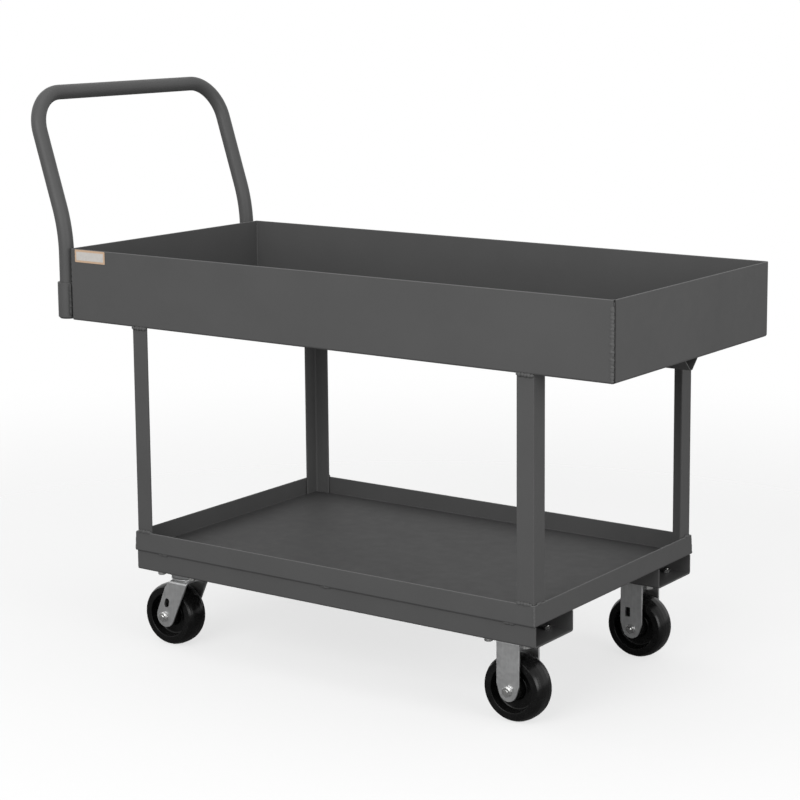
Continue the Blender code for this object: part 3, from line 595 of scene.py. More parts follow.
# %% [markdown]
# The wheels are moulded from a hard black resin with a gloss like polished rubber. Fine rings from
# the turned mould run round each one, so their pattern needs the wheel's own middle: a mapping node
# moves the coordinates there, and the distance from the axle gives the rings.

# %% Wheel resin and label stock
RESIN_BLACK = (0.004, 0.004, 0.004)
RESIN_WORN = (0.009, 0.009, 0.009)
RESIN_SPECULAR = 0.22
RING_PITCH = 0.0011
RING_DEPTH = 0.000004
TAN = (0.50, 0.345, 0.23)
TAN_LIGHT = (0.56, 0.395, 0.27)
CREAM = (0.50, 0.48, 0.455)
CREAM_LIGHT = (0.57, 0.545, 0.515)


def resin(name, centre):
    """Glossy black resin with fine rings about the axle, which runs along Y through the centre."""
    made, tree, shader = finish(name, RESIN_BLACK, 0.24)
    shader.inputs["Specular IOR Level"].default_value = RESIN_SPECULAR
    scuffs = spread(tree, noise(tree, 60.0, 4.0), 0.0, 1.0, 0.45, 0.8)
    tree.links.new(blended(tree, scuffs, RESIN_BLACK, RESIN_WORN), shader.inputs["Base Color"])
    tree.links.new(spread(tree, noise(tree, 150.0, 3.0), 0.20, 0.32), shader.inputs["Roughness"])
    place = added(tree, "TexCoord")
    mapping = added(tree, "Mapping", Location=(-centre[0], 0.0, -centre[2]), Scale=(1.0, 0.0, 1.0))
    radius = added(tree, "VectorMath")
    radius.operation = "LENGTH"
    tree.links.new(place.outputs["Object"], mapping.inputs["Vector"])
    tree.links.new(mapping.outputs["Vector"], radius.inputs[0])
    rings = computed(tree, "MULTIPLY", radius.outputs["Value"], 2 * math.pi / RING_PITCH)
    turning = bumped(tree, computed(tree, "SINE", rings), RING_DEPTH)
    tree.links.new(bumped(tree, noise(tree, 210.0, 2.0), 0.00004, turning), shader.inputs["Normal"])
    return made


def printed(name, dull, light, grain):
    """Matt printed film with a slight mottle."""
    made, tree, shader = finish(name, dull, 0.5)
    mottle = spread(tree, noise(tree, grain, 3.0), 0.0, 1.0)
    tree.links.new(blended(tree, mottle, dull, light), shader.inputs["Base Color"])
    tree.links.new(bumped(tree, noise(tree, 600.0), 0.00002), shader.inputs["Normal"])
    return made


TAN_FILM = printed("label_border", TAN, TAN_LIGHT, 180.0)
CREAM_FILM = printed("label_middle", CREAM, CREAM_LIGHT, 260.0)
print("films:", TAN_FILM.name, CREAM_FILM.name)

# %% [markdown]
# ## Trays
# Each tray is one sheet, cut at the corners, folded up at all four sides and welded there. Its
# section runs from the underside round the outer bend, up the wall, over the rounded rim and down
# inside. Each step of that section is an outline of the whole tray, so the grid closes by itself.
# The upper tray's right corners keep the groove that is left beside the bead. Its left corners are
# ground flush, as the clean far edge in the photograph shows.

# %% Tray helpers
def arc_steps(radius, offset, steps=6):
    """Bend in section, from the flat to the wall: inset r (1 - sin a) and height r (1 - cos a)."""
    angle = np.linspace(0, np.pi / 2, steps + 1)
    return offset + radius * (1 - np.sin(angle)), offset + radius * (1 - np.cos(angle))


def pan_section(depth, sheet, bend, lean, rim):
    """Insets and heights of a folded pan's section, outside upwards and then inside downwards.

    A leaning wall's inset grows evenly with height above the bend. The third list is painted
    light: the rim is painted paler, as a highlight.
    """
    outer_in, outer_up = arc_steps(bend, 0.0)
    inner_in, inner_up = arc_steps(bend - sheet, sheet)
    angle = np.linspace(0, np.pi / 2, 4)
    rim_out_in = lean + rim * (1 - np.cos(angle))
    rim_out_up = depth - rim * (1 - np.sin(angle))
    rim_back_in = lean + sheet - rim * (1 - np.sin(angle))
    rim_back_up = depth - rim * (1 - np.cos(angle))
    inset = np.concatenate([outer_in, rim_out_in, rim_back_in, inner_in[::-1]])
    height = np.concatenate([outer_up, rim_out_up, rim_back_up, inner_up[::-1]])
    # Painted highlight on the rim: rising to full at its top and falling off again inside.
    painted_light = np.concatenate([0 * outer_in, np.sin(angle), np.cos(angle), 0 * inner_in])
    return inset, height, painted_light


def pan(low, high, sheet, bend, lean, rim, right_corner, left_corner):
    """Folded pan that fills a box, with a corner rule for its right side and one for its left.

    A rule gives, for an inset, points from end wall to side wall, and the painted shade of each.
    """
    inset, height, painted_light = pan_section(high[2] - low[2], sheet, bend, lean, rim)
    middle = (low + high) / 2
    half = (high - low) / 2
    rows = []
    painted_lights = []
    for i, z, share in zip(inset, height, painted_light):
        right_points, right_shade = right_corner(i)
        left_points, left_shade = left_corner(i)
        right = half[:2] - i - right_points
        left = half[:2] - i - left_points
        outline = np.concatenate([left, (left * (-1, 1))[::-1], -right, (right * (1, -1))[::-1]])
        rows.append(placed(outline, low[2] + z, "Z"))
        # Painted light: the rim's painted highlight, less the painted shade of the corner groove.
        painted_lights.append(share - np.concatenate([left_shade, left_shade[::-1], right_shade, right_shade[::-1]]))
    made = shell(np.stack(rows) + np.array([middle[0], middle[1], 0.0]))
    return with_painted_light(made, np.concatenate(painted_lights))


def round_corner(radius, sheet, steps=5):
    """Corner rule: a quarter circle of the radius, which shrinks inside the sheet."""
    angle = np.linspace(0, np.pi / 2, steps + 1)

    def rule(inset):
        r = radius if inset < sheet / 2 else max(radius - sheet, radius / 4)
        return r * np.stack([1 - np.cos(angle), 1 - np.sin(angle)], 1), 0 * angle

    return rule


def grooved_corner(sheet):
    """Corner rule: outside a groove by the end wall's edge, painted in shade; inside nearly square.
    """
    groove = np.array([(0.0, 0.0078), (0.0004, 0.0070), (0.0022, 0.0062), (0.0026, 0.0036),
                       (0.0020, 0.0014), (0.0036, 0.0)])
    # Painted shade: how much darker each groove point is painted, for the shade that falls in it.
    depth = np.array([0.0, 0.3, 0.9, 0.9, 0.6, 0.0])
    plain = np.array([(0.0, 0.0010), (0.0001, 0.0006), (0.0003, 0.0003), (0.0006, 0.0001),
                      (0.0010, 0.0), (0.0014, 0.0)])

    def rule(inset):
        if inset < sheet * 0.55:
            return groove, depth
        return plain, 0 * depth

    return rule


# %% Upper tray
TRAY_SHEET = 0.003
TRAY_BEND = 0.005
TRAY_RIM = 0.0014
GROUND_CORNER = 0.003
CORNER_BEAD_WIDTH = 0.0074
CORNER_BEAD_INSET = 0.0048
CORNER_BEAD_DEPTH = 0.0014
CORNER_BEAD_FOOT = 0.0003
CORNER_NOTCH = 0.0110
FRONT_BEAD_HEIGHT = 0.00195
FRONT_BEAD_LUMPS = 0.24
REAR_BEAD_HEIGHT = 0.0013
REAR_BEAD_LUMPS = 0.08
SEAM_BEAD = (0.0042, 0.0016)
SEAM_LUMPS = 0.1


def corners_of(low, high):
    """Number, signs and place at the foot of a box's corners: left front, right front and so on."""
    for number, (sx, sy) in enumerate(((1, 1), (1, -1), (-1, 1), (-1, -1))):
        x = high[0] if sx > 0 else low[0]
        y = high[1] if sy > 0 else low[1]
        yield number, sx, sy, np.array([x, y, low[2]])


tray_low, tray_high = box_of("upper_tray")
tray_shells = [pan(tray_low, tray_high, TRAY_SHEET, TRAY_BEND, 0.0, TRAY_RIM,
                   grooved_corner(TRAY_SHEET), round_corner(GROUND_CORNER, TRAY_SHEET))]
for number, sx, sy, corner in corners_of(tray_low, tray_high):
    if sy < 0:
        x = corner[0] - sx * CORNER_BEAD_INSET
        y = corner[1] + CORNER_BEAD_DEPTH
        run = [(x, y, tray_low[2] + CORNER_BEAD_FOOT), (x, y, tray_high[2] - CORNER_NOTCH)]
        proud = FRONT_BEAD_HEIGHT if sx > 0 else REAR_BEAD_HEIGHT
        lumps = FRONT_BEAD_LUMPS if sx > 0 else REAR_BEAD_LUMPS
        outwards = (0.15 * sx, -1, 0)
        tray_shells.append(bead(run, CORNER_BEAD_WIDTH, proud, outwards, 1.7 * number, lumps))
    x, y = corner[:2] - np.array([sx, sy]) * TRAY_SHEET * 1.15
    seam = [(x, y, tray_low[2] + 0.008), (x, y, tray_high[2] - 0.004)]
    seed = 2.3 * number + 1
    tray_shells.append(bead(seam, *SEAM_BEAD, (-sx, -sy, 0), seed, SEAM_LUMPS, 0.0))
piece("upper_tray", mesh_of("upper_tray", tray_shells), GREY_ENAMEL)
print("upper tray shells:", len(tray_shells))

# %% Lower tray
SHELF_SHEET = 0.003
SHELF_BEND = 0.0045
SHELF_LEAN = 0.0015
SHELF_RIM = 0.0014
SHELF_CORNER = 0.0022
SHELF_BEAD = (0.0046, 0.0016)
SHELF_BEAD_DEPTH = 0.0012

shelf_low, shelf_high = box_of("lower_tray")
shelf_rule = round_corner(SHELF_CORNER, SHELF_SHEET)
shelf_shells = [pan(shelf_low, shelf_high, SHELF_SHEET, SHELF_BEND, SHELF_LEAN, SHELF_RIM,
                    shelf_rule, shelf_rule)]
for number, sx, sy, corner in corners_of(shelf_low, shelf_high):
    foot = corner - np.array([sx, sy, 0]) * SHELF_BEAD_DEPTH
    head = foot - np.array([sx, sy, 0]) * SHELF_LEAN
    run = [(foot[0], foot[1], shelf_low[2] + 0.001), (head[0], head[1], shelf_high[2] - 0.001)]
    shelf_shells.append(bead(run, *SHELF_BEAD, (sx, sy, 0), 0.9 * number + 3))
piece("lower_tray", mesh_of("lower_tray", shelf_shells), GREY_ENAMEL)
print("lower tray", np.round(shelf_high - shelf_low, 4))

# %% [markdown]
# ## Stiffener and label
# A strip folded to a shallow V runs under the upper tray and keeps its floor from sagging. The
# label is a printed film near the handle: its border is tan, its middle pale, and it is left bare.

# %% Stiffener
STIFFENER_SHEET = 0.002
STIFFENER_FOOT = 0.008
STIFFENER_BEAD = (0.006, 0.0026)
STIFFENER_BEAD_REACH = 0.014
STIFFENER_BEADS = 7
STIFFENER_BEAD_MARGIN = 0.05

strip_low, strip_high = box_of("deck_stiffener")
half_top = (strip_high[1] - strip_low[1]) / 2
half_foot = STIFFENER_FOOT / 2
drop = strip_high[2] - strip_low[2]
slope = half_top - half_foot
wall = STIFFENER_SHEET * math.hypot(slope, drop) / drop
half_floor = half_foot + slope * STIFFENER_SHEET / drop - wall
floor_up = STIFFENER_SHEET - drop
outside = [(half_top, 0), (half_foot, -drop), (-half_foot, -drop), (-half_top, 0)]
inside = [(wall - half_top, 0), (-half_floor, floor_up),
          (half_floor, floor_up), (half_top - wall, 0)]
radii = [0.0005, 0.003, 0.003, 0.0005, 0.0005, 0.001, 0.001, 0.0005]
middle_y = (strip_low[1] + strip_high[1]) / 2
strip_outline = filleted(outside + inside, radii) + np.array([middle_y, strip_high[2]])
strip_shells = [bar(strip_outline, "X", strip_low[0], strip_high[0], 0.0003)]
first = strip_low[0] + STIFFENER_BEAD_MARGIN
last = strip_high[0] - STIFFENER_BEAD_MARGIN
for number, x in enumerate(np.linspace(first, last, STIFFENER_BEADS)):
    for side in (1, -1):
        y = middle_y + side * (half_top + 0.0005)
        run = [(x - STIFFENER_BEAD_REACH, y, strip_high[2]),
               (x + STIFFENER_BEAD_REACH, y, strip_high[2])]
        strip_shells.append(bead(run, *STIFFENER_BEAD, (0, side, -1), number + side))
piece("deck_stiffener", mesh_of("deck_stiffener", strip_shells), GREY_ENAMEL)
print("stiffener", np.round(strip_high - strip_low, 4))

# %% Label
LABEL_CORNER = 0.0012
LABEL_BORDER = 0.0042
LABEL_FILM = 0.00015

label_low, label_high = box_of("label_plate")
label_size = label_high - label_low
label_middle = (label_low + label_high) / 2
border = rectangle(label_size[0], label_size[2], LABEL_CORNER) + label_middle[[0, 2]]
border_bar = bar(border, "Y", label_low[1] + LABEL_FILM, label_high[1], 0.00015, 2)
piece("label_plate", mesh_of("label_plate", [border_bar]), TAN_FILM)
middle_size = label_size - 2 * LABEL_BORDER
middle = rectangle(middle_size[0], middle_size[2], LABEL_CORNER / 2) + label_middle[[0, 2]]
middle_bar = bar(middle, "Y", label_low[1], label_high[1] - LABEL_FILM, 0.00005, 2)
middle_mesh = mesh_of("label_middle", [middle_bar])
piece("label_plate", middle_mesh, CREAM_FILM, name="label_middle")
print("label", np.round(label_size, 4))

# %% [markdown]
# ## Legs
# Hot-rolled angle iron: the outside corner is nearly sharp, the inside one has a fillet, and the
# toes are rounded. Each leg is welded to the tray above along its side face, where the bead sits in
# the groove under the tray's bend, and to the lips of the lower tray at its foot.

# %% Legs
LEG_WIDTH = 0.038
LEG_THICKNESS = 0.004
LEG_HEEL = 0.0012
LEG_FILLET = 0.0040
LEG_TOE = 0.0018
LEG_BEAD_LUMPS = 0.30
HEAD_BEAD = (0.0078, 0.0040)
LIP_BEAD = (0.0064, 0.0038)
END_BEAD = (0.0058, 0.0030)
INSIDE_BEAD = (0.0060, 0.0026)


def leg(end, side, sx, sy, seed):
    """Angle iron with its corner outwards, and its beads at head and foot."""
    node = f"leg_{end}_{side}"
    low, high = box_of(node)
    corner = np.array([high[0] if sx > 0 else low[0], high[1] if sy > 0 else low[1]])
    w = LEG_WIDTH
    t = LEG_THICKNESS
    section = filleted([(-w, 0), (0, 0), (0, -w), (-t, -w), (-t, -t), (-w, -t)],
                       [0.0006, LEG_HEEL, 0.0006, LEG_TOE, LEG_FILLET, LEG_TOE])
    shells = [bar(section * (sx, sy) + corner, "Z", low[2], high[2], 0.0005)]
    x, y = corner
    x_toe = x - sx * w
    lip = shelf_high[2] + 0.0006
    head = [(x_toe - sx * 0.001, y + sy * 0.0010, high[2] - 0.0008),
            (x + sx * 0.0010, y + sy * 0.0010, high[2] - 0.0016)]
    across = [(x_toe, y + sy * 0.0016, lip), (x - sx * 0.003, y + sy * 0.0016, lip)]
    along = [(x + sx * 0.0014, y - sy * 0.024, lip), (x + sx * 0.0014, y - sy * 0.008, lip)]
    y_inside = y - sy * (t + 0.0006)
    inside = [(x_toe + sx * 0.004, y_inside, high[2] - 0.0002),
              (x - sx * (t + 0.003), y_inside, high[2] - 0.0002)]
    shells.append(bead(head, *HEAD_BEAD, (0, sy, -0.1), seed, LEG_BEAD_LUMPS))
    shells.append(bead(across, *LIP_BEAD, (0, 0.25 * sy, 1), seed + 1, LEG_BEAD_LUMPS))
    shells.append(bead(along, *END_BEAD, (0.25 * sx, 0, 1), seed + 2, LEG_BEAD_LUMPS))
    shells.append(bead(inside, *INSIDE_BEAD, (0, -sy, -0.8), seed + 3))
    return piece(node, mesh_of(node, shells), GREY_ENAMEL)


for number, (end, sx) in enumerate((("front", 1), ("rear", -1))):
    for side, sy in (("left", 1), ("right", -1)):
        leg(end, side, sx, sy, 4.1 * number + 1.3 * sy)
print("leg length", round(float(np.ptp([c[2] for c in box_of("leg_front_left")])), 4))

# %% [markdown]
# ## Caster channels
# Two pressed channels stiffen the lower tray and carry the casters. They are stitched to the tray's
# edge: short beads with gaps between them, because a full seam would warp the sheet.

# %% Channels
CHANNEL_THICKNESS = 0.0035
CHANNEL_BEND = 0.005
STITCH_LENGTH = 0.026
STITCH_PLACES = (-0.421, 0.005, 0.437)
STITCH_BEAD = (0.0068, 0.0028)


def channel(side, sy):
    """Channel open upwards with bent lower corners, and its stitches on both sides."""
    node = f"caster_channel_{side}"
    low, high = box_of(node)
    half = (high[1] - low[1]) / 2
    top = high[2] - low[2]
    t = CHANNEL_THICKNESS
    corners = [(half, top), (half, 0), (-half, 0), (-half, top),
               (t - half, top), (t - half, t), (half - t, t), (half - t, top)]
    inner = CHANNEL_BEND - t
    radii = [0.0006, CHANNEL_BEND, CHANNEL_BEND, 0.0006, 0.0006, inner, inner, 0.0006]
    middle = (low + high) / 2
    outline = filleted(corners, radii, 6) + np.array([middle[1], low[2]])
    shells = [bar(outline, "X", low[0], high[0], 0.0005)]
    for number, x in enumerate(STITCH_PLACES):
        for face in (-1, 1):
            y = middle[1] + face * (half + 0.0006)
            z = high[2] + 0.0002
            start = middle[0] + x - STITCH_LENGTH / 2
            run = [(start, y, z), (start + STITCH_LENGTH, y, z)]
            shells.append(bead(run, *STITCH_BEAD, (0, face, -0.7), number + 2 * face + sy))
    return piece(node, mesh_of(node, shells), GREY_ENAMEL)


for side, sy in (("left", 1), ("right", -1)):
    channel(side, sy)
print("stitches per channel:", 2 * len(STITCH_PLACES))

# %% [markdown]
# ## Fasteners
# A hexagon nut is a hexagonal bar whose corners were turned off by a cone, which leaves the curved
# edges on its flats. In polar form that is one line: the radius is the smaller of the hexagon's and
# the cone's. A thread is as simple: the radius goes down and up as a function of height and turn.

# %% Fastener helpers
HEX_FACETS = 72
CHAMFER_SLOPE = math.tan(math.radians(60))
CHAMFER_START = 0.94
THREAD_PITCH = 0.0015
THREAD_DEPTH = 0.0007
THREAD_FACETS = 32


def hex_body(across, low, high, axis, centre):
    """Chamfered hexagonal solid between two heights along an axis.

    The hexagon's radius at an angle t is (across / 2) / cos(t's distance to its flat's middle), and
    the cone's is CHAMFER_START of the flat's at a face and grows by CHAMFER_SLOPE times the depth.
    """
    angle = np.linspace(0, 2 * np.pi, HEX_FACETS, endpoint=False)
    off_flat = (angle + np.pi / 6) % (np.pi / 3) - np.pi / 6
    flat = across / 2
    hexagon = flat / np.cos(off_flat)
    reach = flat * (1 / math.cos(math.pi / 6) - CHAMFER_START) / CHAMFER_SLOPE
    near = np.linspace(0, reach, 6)
    height = np.concatenate([low + near, high - near[::-1]])
    cone = flat * CHAMFER_START + np.minimum(high - height, height - low) * CHAMFER_SLOPE
    radius = np.minimum(hexagon[None], cone[:, None])
    plane = np.stack([radius * np.cos(angle), radius * np.sin(angle)], -1)
    return shell(placed(plane, height[:, None], axis) + np.asarray(centre, float))


def threaded(diameter, low, high, axis, centre, tip):
    """Threaded rod: radius R - d |2 (z / pitch - t / 2 pi mod 1) - 1|, chamfered at its tip end."""
    angle = np.linspace(0, 2 * np.pi, THREAD_FACETS, endpoint=False)
    height = np.linspace(low, high, max(int((high - low) / THREAD_PITCH * 8), 8))
    phase = (height[:, None] / THREAD_PITCH - angle[None] / (2 * np.pi)) % 1
    radius = diameter / 2 - THREAD_DEPTH * np.abs(2 * phase - 1)
    to_tip = (high - height) if tip == "high" else (height - low)
    radius = np.minimum(radius, diameter / 2 - THREAD_DEPTH * 1.5 + to_tip[:, None])
    plane = np.stack([radius * np.cos(angle), radius * np.sin(angle)], -1)
    return shell(placed(plane, height[:, None], axis) + np.asarray(centre, float))


def ring_section(inner, outer, low, high, radius, steps=3):
    """Section of a plain ring with rounded corners, as (radius, height)."""
    return filleted([(inner, low), (outer, low), (outer, high), (inner, high)], radius, steps)


# %% Plate bolts
PLATE_BOLT_DIAMETER = 0.0095
PLATE_BOLT_ACROSS = 0.0145
PLATE_BOLT_HEAD = 0.0062
PLATE_BOLT_DOME = 0.0020
PLATE_BOLT_NUT = 0.0080
PLATE_BOLT_TAIL = 0.0025
PLATE_BOLT_COLLAR = 0.0008
PLATE_THICKNESS = 0.004
GAP = 0.0003


def plate_bolt(node):
    """Hexagon bolt up through the caster plate and the channel, with its nut and thread inside."""
    low, high = box_of(node)
    centre = np.array([*((low + high) / 2)[:2], 0.0])
    seat = low[2] + PLATE_BOLT_HEAD
    nut_high = high[2] - PLATE_BOLT_TAIL
    nut_low = nut_high - PLATE_BOLT_NUT
    inner = PLATE_BOLT_DIAMETER * 0.3
    outer = PLATE_BOLT_ACROSS * 0.46
    head = hex_body(PLATE_BOLT_ACROSS, low[2] - PLATE_BOLT_DOME, seat - 0.0004, "Z", centre)
    nut = hex_body(PLATE_BOLT_ACROSS, nut_low, nut_high, "Z", centre)
    rod = threaded(PLATE_BOLT_DIAMETER, seat - 0.001, high[2], "Z", centre, "high")
    collar = ring_section(inner, outer, seat - PLATE_BOLT_COLLAR, seat, 0.0002, 2)
    shells = [head, turned(collar, "Z", centre, 48), nut, rod]
    return piece(node, mesh_of(node, shells), BOLT_ZINC)


for end in ("front", "rear"):
    for side in ("left", "right"):
        for number in (1, 2, 3, 4):
            plate_bolt(f"plate_bolt_{end}_{side}_{number}")
print("plate bolts: 16")

# %% [markdown]
# ## Forks
# A caster fork is one pressed strip bent to an upturned U. Seen from the side, each leg narrows to
# a round end at the axle. The grid has one direction round the strip's section and the other along
# the strip: the section's two edges follow the side view, which gives the front and the rear edge
# as functions of height. The slot in one leg is cut afterwards, as the press does.

# %% Fork helpers
FORK_SHEET = 0.0045
FORK_BEND = 0.008
FORK_EDGE = 0.0010
FOOT_GAP = 0.00002
AXLE_DIAMETER = 0.0098
AXLE_ACROSS = 0.0180
AXLE_HEAD = 0.0060


def side_edge(corners, centre, radius, sign):
    """Heights and x of one edge of the side view: down the corners, then round the end to its foot.

    The edge touches the circle at angle atan2(dz, dx) - sign acos(radius / distance).
    """
    corner = np.array(corners[-1])
    dx, dz = corner - centre
    touch = math.atan2(dz, dx) - sign * math.acos(radius / math.hypot(dx, dz))
    foot = -math.pi / 2 if sign > 0 else 3 * math.pi / 2
    angle = np.linspace(touch, foot, 24)
    arc = np.stack([centre[0] + radius * np.cos(angle), centre[1] + radius * np.sin(angle)], 1)
    edge = np.concatenate([corners, arc])
    order = np.argsort(edge[:, 1], kind="stable")
    return edge[order, 1], edge[order, 0]


def fork_grid(width, top, front, rear, rows_below):
    """Rows of sections along the strip, from the right leg's foot over the crown to the left leg's.

    front and rear give (height, x) of the two edges; rows_below are the heights in a leg.
    """
    half = width / 2
    bend_angle = np.linspace(0, np.pi / 2, 9)
    centre_y = half - FORK_BEND
    centre_z = top - FORK_BEND
    outer = [(half, z) for z in rows_below]
    inner = [(half - FORK_SHEET, z) for z in rows_below]
    for a in bend_angle:
        outer.append((centre_y + FORK_BEND * math.cos(a), centre_z + FORK_BEND * math.sin(a)))
        small = FORK_BEND - FORK_SHEET
        inner.append((centre_y + small * math.cos(a), centre_z + small * math.sin(a)))
    outer = np.array(outer)
    inner = np.array(inner)
    mirror = np.array([-1.0, 1.0])
    outer = np.concatenate([outer * mirror, outer[::-1]])
    inner = np.concatenate([inner * mirror, inner[::-1]])
    angle = np.linspace(0, np.pi / 2, 4)
    cut_in = FORK_EDGE * (1 - np.sin(angle))
    cut_deep = FORK_EDGE * (1 - np.cos(angle)) / FORK_SHEET
    inset = np.concatenate([cut_in, cut_in[::-1]])
    share = np.concatenate([1 - cut_deep, cut_deep[::-1]])
    inset = np.concatenate([inset, inset[::-1]])
    share = np.concatenate([share, share[::-1]])
    at_front = np.arange(len(inset)) < len(inset) // 2
    y = inner[:, None, 0] + share[None] * (outer - inner)[:, None, 0]
    z = inner[:, None, 1] + share[None] * (outer - inner)[:, None, 1]
    x_front = np.interp(z, *front)
    x_rear = np.interp(z, *rear)
    room = np.minimum(inset[None], (x_front - x_rear) / 2)
    x = np.where(at_front[None], x_front - room, x_rear + room)
    return np.stack([x, y, z], -1)


def cut(mesh, cutter):
    """The mesh with another mesh cut out of it."""
    body = bpy.data.objects.new("body", mesh)
    tool = bpy.data.objects.new("tool", cutter)
    scene.collection.objects.link(body)
    scene.collection.objects.link(tool)
    difference = body.modifiers.new("cut", "BOOLEAN")
    difference.solver = "EXACT"
    difference.object = tool
    bpy.context.view_layer.update()
    graph = bpy.context.evaluated_depsgraph_get()
    result = bpy.data.meshes.new_from_object(body.evaluated_get(graph))
    bpy.data.objects.remove(body)
    bpy.data.objects.remove(tool)
    return result


def merged(name, *meshes):
    """One mesh from several that stay as they are."""
    shape = bmesh.new()
    for mesh in meshes:
        shape.from_mesh(mesh)
    whole = bpy.data.meshes.new(name)
    shape.to_mesh(whole)
    shape.free()
    return whole


def slot_outline(centre, width, length, lean):
    """Round-ended slot in X and Z that leans from upright."""
    angle = np.linspace(0, np.pi, 11)
    straight = (length - width) / 2
    upper = np.stack([width / 2 * np.cos(angle), width / 2 * np.sin(angle) + straight], 1)
    outline = np.concatenate([upper, -upper])
    turn = np.array([[math.cos(lean), math.sin(lean)], [-math.sin(lean), math.cos(lean)]])
    return outline @ turn + np.asarray(centre, float)


def caster_plate(low_z, high_z, centre):
    """Caster plate with round corners and rounded edges."""
    outline = rectangle(PLATE_LENGTH, PLATE_WIDTH, PLATE_CORNER) + np.asarray(centre[:2], float)
    return bar(outline, "Z", low_z, high_z, 0.0008)


# %% Rigid casters
PLATE_LENGTH = 0.114
PLATE_WIDTH = 0.102
PLATE_CORNER = 0.006
FORK_WIDTH = 0.074
RIGID_LEG_WIDTH = 0.051
RIGID_TAPER_RISE = 0.0125
RIGID_END_RADIUS = 0.0205
RIGID_SLOT_WIDTH = 0.0115
RIGID_SLOT_LENGTH = 0.0205
RIGID_SLOT_CORNER = 0.0015
RIGID_SLOT_SHIFT = 0.008
RIGID_SLOT_RISE = 0.0345
PLATE_BEAD = (0.006, 0.0022)

joint_places = {}
for joint in frame["joints"]:
    if "pos_m" in joint:
        joint_places[joint["name"]] = np.array(joint["pos_m"])


def leg_rows(bottom, shoulder, top, bends=()):
    """Heights along a fork leg, close together at its round end, with a row at each bend."""
    angle = np.linspace(0, np.pi / 2, 16)
    round_end = bottom + (shoulder - bottom) * (1 - np.cos(angle))
    return np.sort(np.concatenate([round_end, np.linspace(shoulder, top, 6)[1:-1], bends]))


def rigid_fork(side):
    """Fork and plate of a rigid caster in one, with the slot towards the cart's middle."""
    node = f"rigid_fork_{side}"
    axle = joint_places[f"wheel_spin_front_{side}"]
    low, high = box_of(node)
    half = RIGID_LEG_WIDTH / 2
    shoulder = axle[2] + RIGID_TAPER_RISE
    crown = high[2] - PLATE_THICKNESS
    middle = np.array([0.0, axle[2]])
    front = side_edge([(half, high[2]), (half, shoulder)], middle, RIGID_END_RADIUS, 1)
    rear = side_edge([(-half, high[2]), (-half, shoulder)], middle, RIGID_END_RADIUS, -1)
    rows = leg_rows(axle[2] - RIGID_END_RADIUS + FOOT_GAP, shoulder, crown - FORK_BEND)
    fork = shell(fork_grid(FORK_WIDTH, crown + 0.0004, front, rear, rows))
    strip = mesh_of("strip", [fork])
    opening = rectangle(RIGID_SLOT_WIDTH, RIGID_SLOT_LENGTH, RIGID_SLOT_CORNER)
    opening = opening + np.array([-RIGID_SLOT_SHIFT, axle[2] + RIGID_SLOT_RISE])
    tool = mesh_of("tool", [bar(opening, "Y", -FORK_WIDTH, -FORK_WIDTH / 4, 0.0001)])
    strip = cut(strip, tool)
    facing = 1 if side == "left" else -1
    strip.transform(Matrix.Diagonal((facing, facing, 1, 1)))
    strip.transform(Matrix.Translation((axle[0], axle[1], 0)))
    plate = caster_plate(crown, high[2], axle)
    shells = [plate]
    for sx in (1, -1):
        x = axle[0] + sx * (half + 0.0005)
        run = [(x, axle[1] - FORK_WIDTH * 0.36, crown), (x, axle[1] + FORK_WIDTH * 0.36, crown)]
        shells.append(bead(run, *PLATE_BEAD, (sx, 0, -1), sx + facing))
    return piece(node, merged(node, strip, mesh_of("plate", shells)), ZINC)


for side in ("left", "right"):
    rigid_fork(side)
print("rigid forks at x", round(float(joint_places["wheel_spin_front_left"][0]), 4))

# %% [markdown]
# ## Swivel casters
# The plate's upper race and the fork's lower race are pressed cups that hold a ring of balls. From
# outside they show as two bright rings with a dark gap, and in the gap are the balls. The kingpin
# holds them together, its nut under the crown. The fork trails: its legs lean back to the axle.

# %% Swivel casters
SWIVEL_FRONT_REACH = 0.026
SWIVEL_REAR_REACH = 0.0205
SWIVEL_SHOULDER_REACH = 0.0367
SWIVEL_SHOULDER_DROP = 0.019
SWIVEL_END_SHIFT = 0.0035
SWIVEL_END_RISE = 0.0015
SWIVEL_END_RADIUS = 0.0235
SWIVEL_SLOT_WIDTH = 0.0120
SWIVEL_SLOT_LENGTH = 0.0200
SWIVEL_SLOT_SHIFT = 0.0084
SWIVEL_SLOT_RISE = 0.0312
SWIVEL_SLOT_LEAN = math.radians(12)
RACE_DIAMETER = 0.0814
RACE_CONE = 0.004
RACE_HEIGHT = 0.0125
RACE_CUP_DIAMETER = 0.0744
RACE_CUP_HEIGHT = 0.0045
RACE_FLOOR = 0.0025
RACE_FACETS = 72
BALL_RING_INNER = 0.054
BALL_RING_OUTER = 0.066
BALL_COUNT = 29
BALL_RADIUS = 0.003
KINGPIN_DIAMETER = 0.0125
KINGPIN_HEAD_DIAMETER = 0.021
KINGPIN_HEAD = 0.0035
KINGPIN_NUT_ACROSS = 0.0180
KINGPIN_TAIL = 0.0015
KINGPIN_NUT = 0.0065


